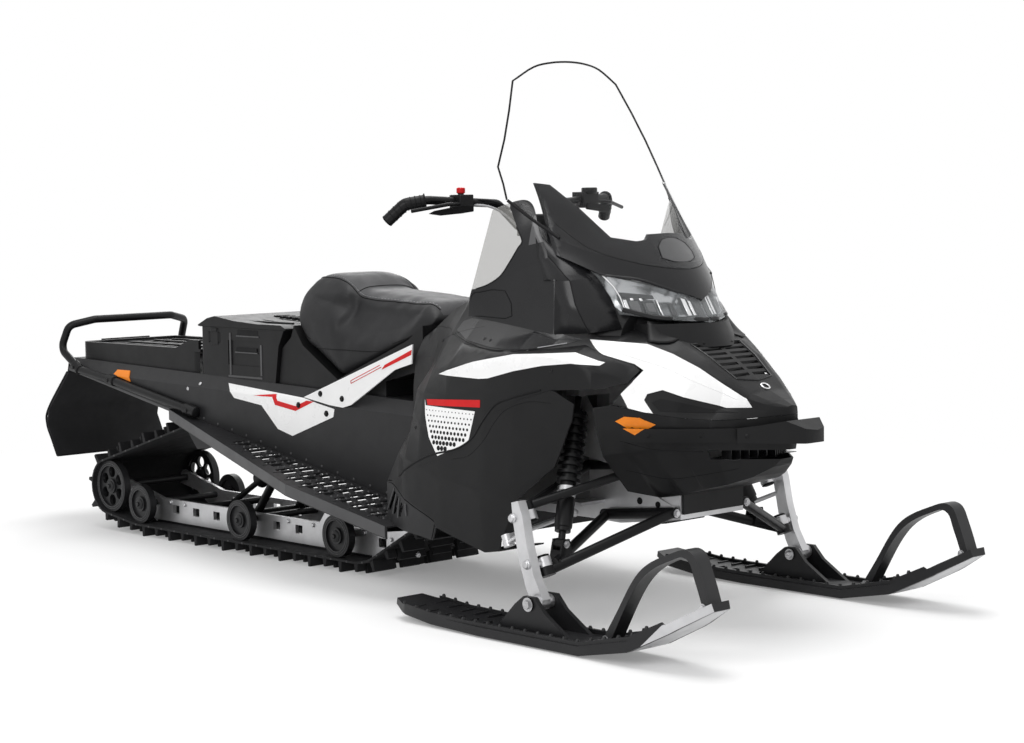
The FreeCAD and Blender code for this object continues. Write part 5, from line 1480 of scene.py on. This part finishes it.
def make_seat():
    """The cushion: remeshed from the CAD form, rounded, and blown up as a padded cover."""
    source = NODES["seat"].data.copy()
    ob = bpy.data.objects.new("seat_cover", source)
    bpy.context.collection.objects.link(ob)
    mod = ob.modifiers.new("remesh", "REMESH")
    mod.mode = "VOXEL"
    mod.voxel_size = SEAT_VOXEL
    me = evaluated(ob)
    bm = bmesh.new()
    bm.from_mesh(me)
    soften(bm, SEAT_ROUNDING)
    bm.normal_update()
    for v in bm.verts:
        v.co -= v.normal * SEAT_INSET
    bm.to_mesh(me)
    bm.free()
    ob.modifiers.clear()
    ob.data = me
    inflate(ob, SEAT_PRESSURE, SEAT_FRAMES, SEAT_SWELL)
    relax(ob.data, SEAT_RELAXING)
    settle_seat(ob)
    sub = ob.modifiers.new("subdivision", "SUBSURF")
    sub.levels = 1
    sub.render_levels = 1
    ob.data.materials.clear()
    ob.data.materials.append(MATERIALS["seat_vinyl"])
    ob.data.materials.append(MATERIALS["seat_painted_sheen"])
    # Upward-facing faces of the middle get the lighter second material: a painted highlight on the top facet
    for p in ob.data.polygons:
        p.use_smooth = True
        c = p.center * 1000
        top_half = 104 + max(0.0, min(1.0, (-c.x - 60) / 200)) * 8
        p.material_index = 1 if (p.normal.z > 0.35 and abs(c.y) < top_half and c.z > 745) else 0
    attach(ob, "chassis")
    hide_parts("seat")
    seat_seams(ob)


def relax(me, rounds):
    """Takes the small folds of the cover out again."""
    bm = bmesh.new()
    bm.from_mesh(me)
    soften(bm, rounds)
    bm.to_mesh(me)
    bm.free()


def evaluated(ob):
    graph = bpy.context.evaluated_depsgraph_get()
    graph.update()
    return bpy.data.meshes.new_from_object(ob.evaluated_get(graph))


def inflate(ob, pressure, frames, cap):
    """Blows the cover up by cloth under pressure, with each point's move capped."""
    me = ob.data
    rest = np.empty(len(me.vertices) * 3)
    me.vertices.foreach_get("co", rest)
    mod = ob.modifiers.new("cloth", "CLOTH")
    mod.settings.quality = 4
    mod.settings.mass = 0.4
    mod.settings.tension_stiffness = 15
    mod.settings.compression_stiffness = 15
    mod.settings.use_pressure = True
    mod.settings.uniform_pressure_force = pressure
    mod.settings.effector_weights.gravity = 0
    mod.point_cache.frame_start = 1
    mod.point_cache.frame_end = frames
    scene = bpy.context.scene
    for frame_number in range(1, frames + 1):
        scene.frame_set(frame_number)
    blown = evaluated(ob)
    co = np.empty(len(blown.vertices) * 3)
    blown.vertices.foreach_get("co", co)
    ob.modifiers.clear()
    scene.frame_set(1)
    move = (co - rest).reshape(-1, 3)
    length = np.linalg.norm(move, axis=1)
    move *= np.minimum(1.0, cap / np.maximum(length, 1e-9))[:, None]
    me.vertices.foreach_set("co", rest + move.ravel())
    me.update()


def settle_seat(ob):
    """Thigh scoops go into both sides, and nothing leaves the cushion's own room."""
    rim = [Vector(p) for p in SCOOP]
    tree = tree_of(("seat",))
    for v in ob.data.vertices:
        place = Vector((v.co.x * 1000, v.co.z * 1000))
        if abs(v.co.y) > SCOOP_FROM and inside(place, rim):
            t = min(1.0, rim_distance(place, rim) / SCOOP_EDGE)
            side = min(1.0, (abs(v.co.y) - SCOOP_FROM) / 0.05)
            v.co.y -= math.copysign(SCOOP_DEPTH * t * t * (3 - 2 * t) * side, v.co.y)
        at, normal, index, distance = tree.find_nearest(v.co)
        if normal.z < -0.2:
            outward = (v.co - at).dot(normal)
            if outward > -0.001:
                v.co -= normal * (outward + 0.001)
    ob.data.update()


def seat_seams(ob):
    """Sewn seams and a stitched line along them, laid on the finished cushion."""
    cover = ("seat_cover",)
    me = evaluated(ob)
    TREES[cover] = BVHTree.FromPolygons([v.co.copy() for v in me.vertices],
                                        [tuple(p.vertices) for p in me.polygons])
    seams = Mesh()
    stitch = Mesh()
    foot = [(-288, 640), (-200, 640), (-60, 640), (60, 640), (200, 655), (262, 668)]
    for side, view in ((-1, "right"), (1, "left")):
        top = [(262, 100 * side), (200, 106 * side), (100, 108 * side), (0, 108 * side), (-70, 108 * side),
               (-110, 112 * side), (-170, 112 * side), (-240, 108 * side), (-284, 96 * side)]
        seams.tube(line_on(cover, top, "top", 0.3, 8), 1.7, 8)
        seams.tube(line_on(cover, foot, view, 0.1, 8), 1.4, 8)
        sewn = [(255, 94 * side), (100, 101 * side), (-60, 101 * side), (-120, 105 * side),
                (-240, 101 * side)]
        line = line_on(cover, sewn, "top", 0.5, 24)
        for k in range(0, len(line) - 1, 2):
            stitch.tube([line[k], line[k + 1] * 0.75 + line[k] * 0.25], 0.7, 5)
    cross = [(-88, -104), (-92, -50), (-94, 0), (-92, 50), (-88, 104)]
    seams.tube(line_on(cover, cross, "top", 0.2, 8), 1.5, 8)
    piece("seat_seams", seams, "deep_black")
    piece("seat_stitches", stitch, "label_grey")


def finish_all():
    dress_nodes()
    for step in (dress_side_panels, dress_nose, dress_foot_panels, dress_windshield, dress_cowl,
                 dress_headlamps, dress_brace_and_tunnel, dress_boards, dress_rear, dress_box,
                 dress_wheels, dress_track, dress_front_end, dress_skis, dress_controls, dress_dash,
                 make_seat):
        step()


add_camera()
bpy.context.scene.view_settings.view_transform = "Standard"
add_world()
add_floor()
add_lamps()
finish_all()
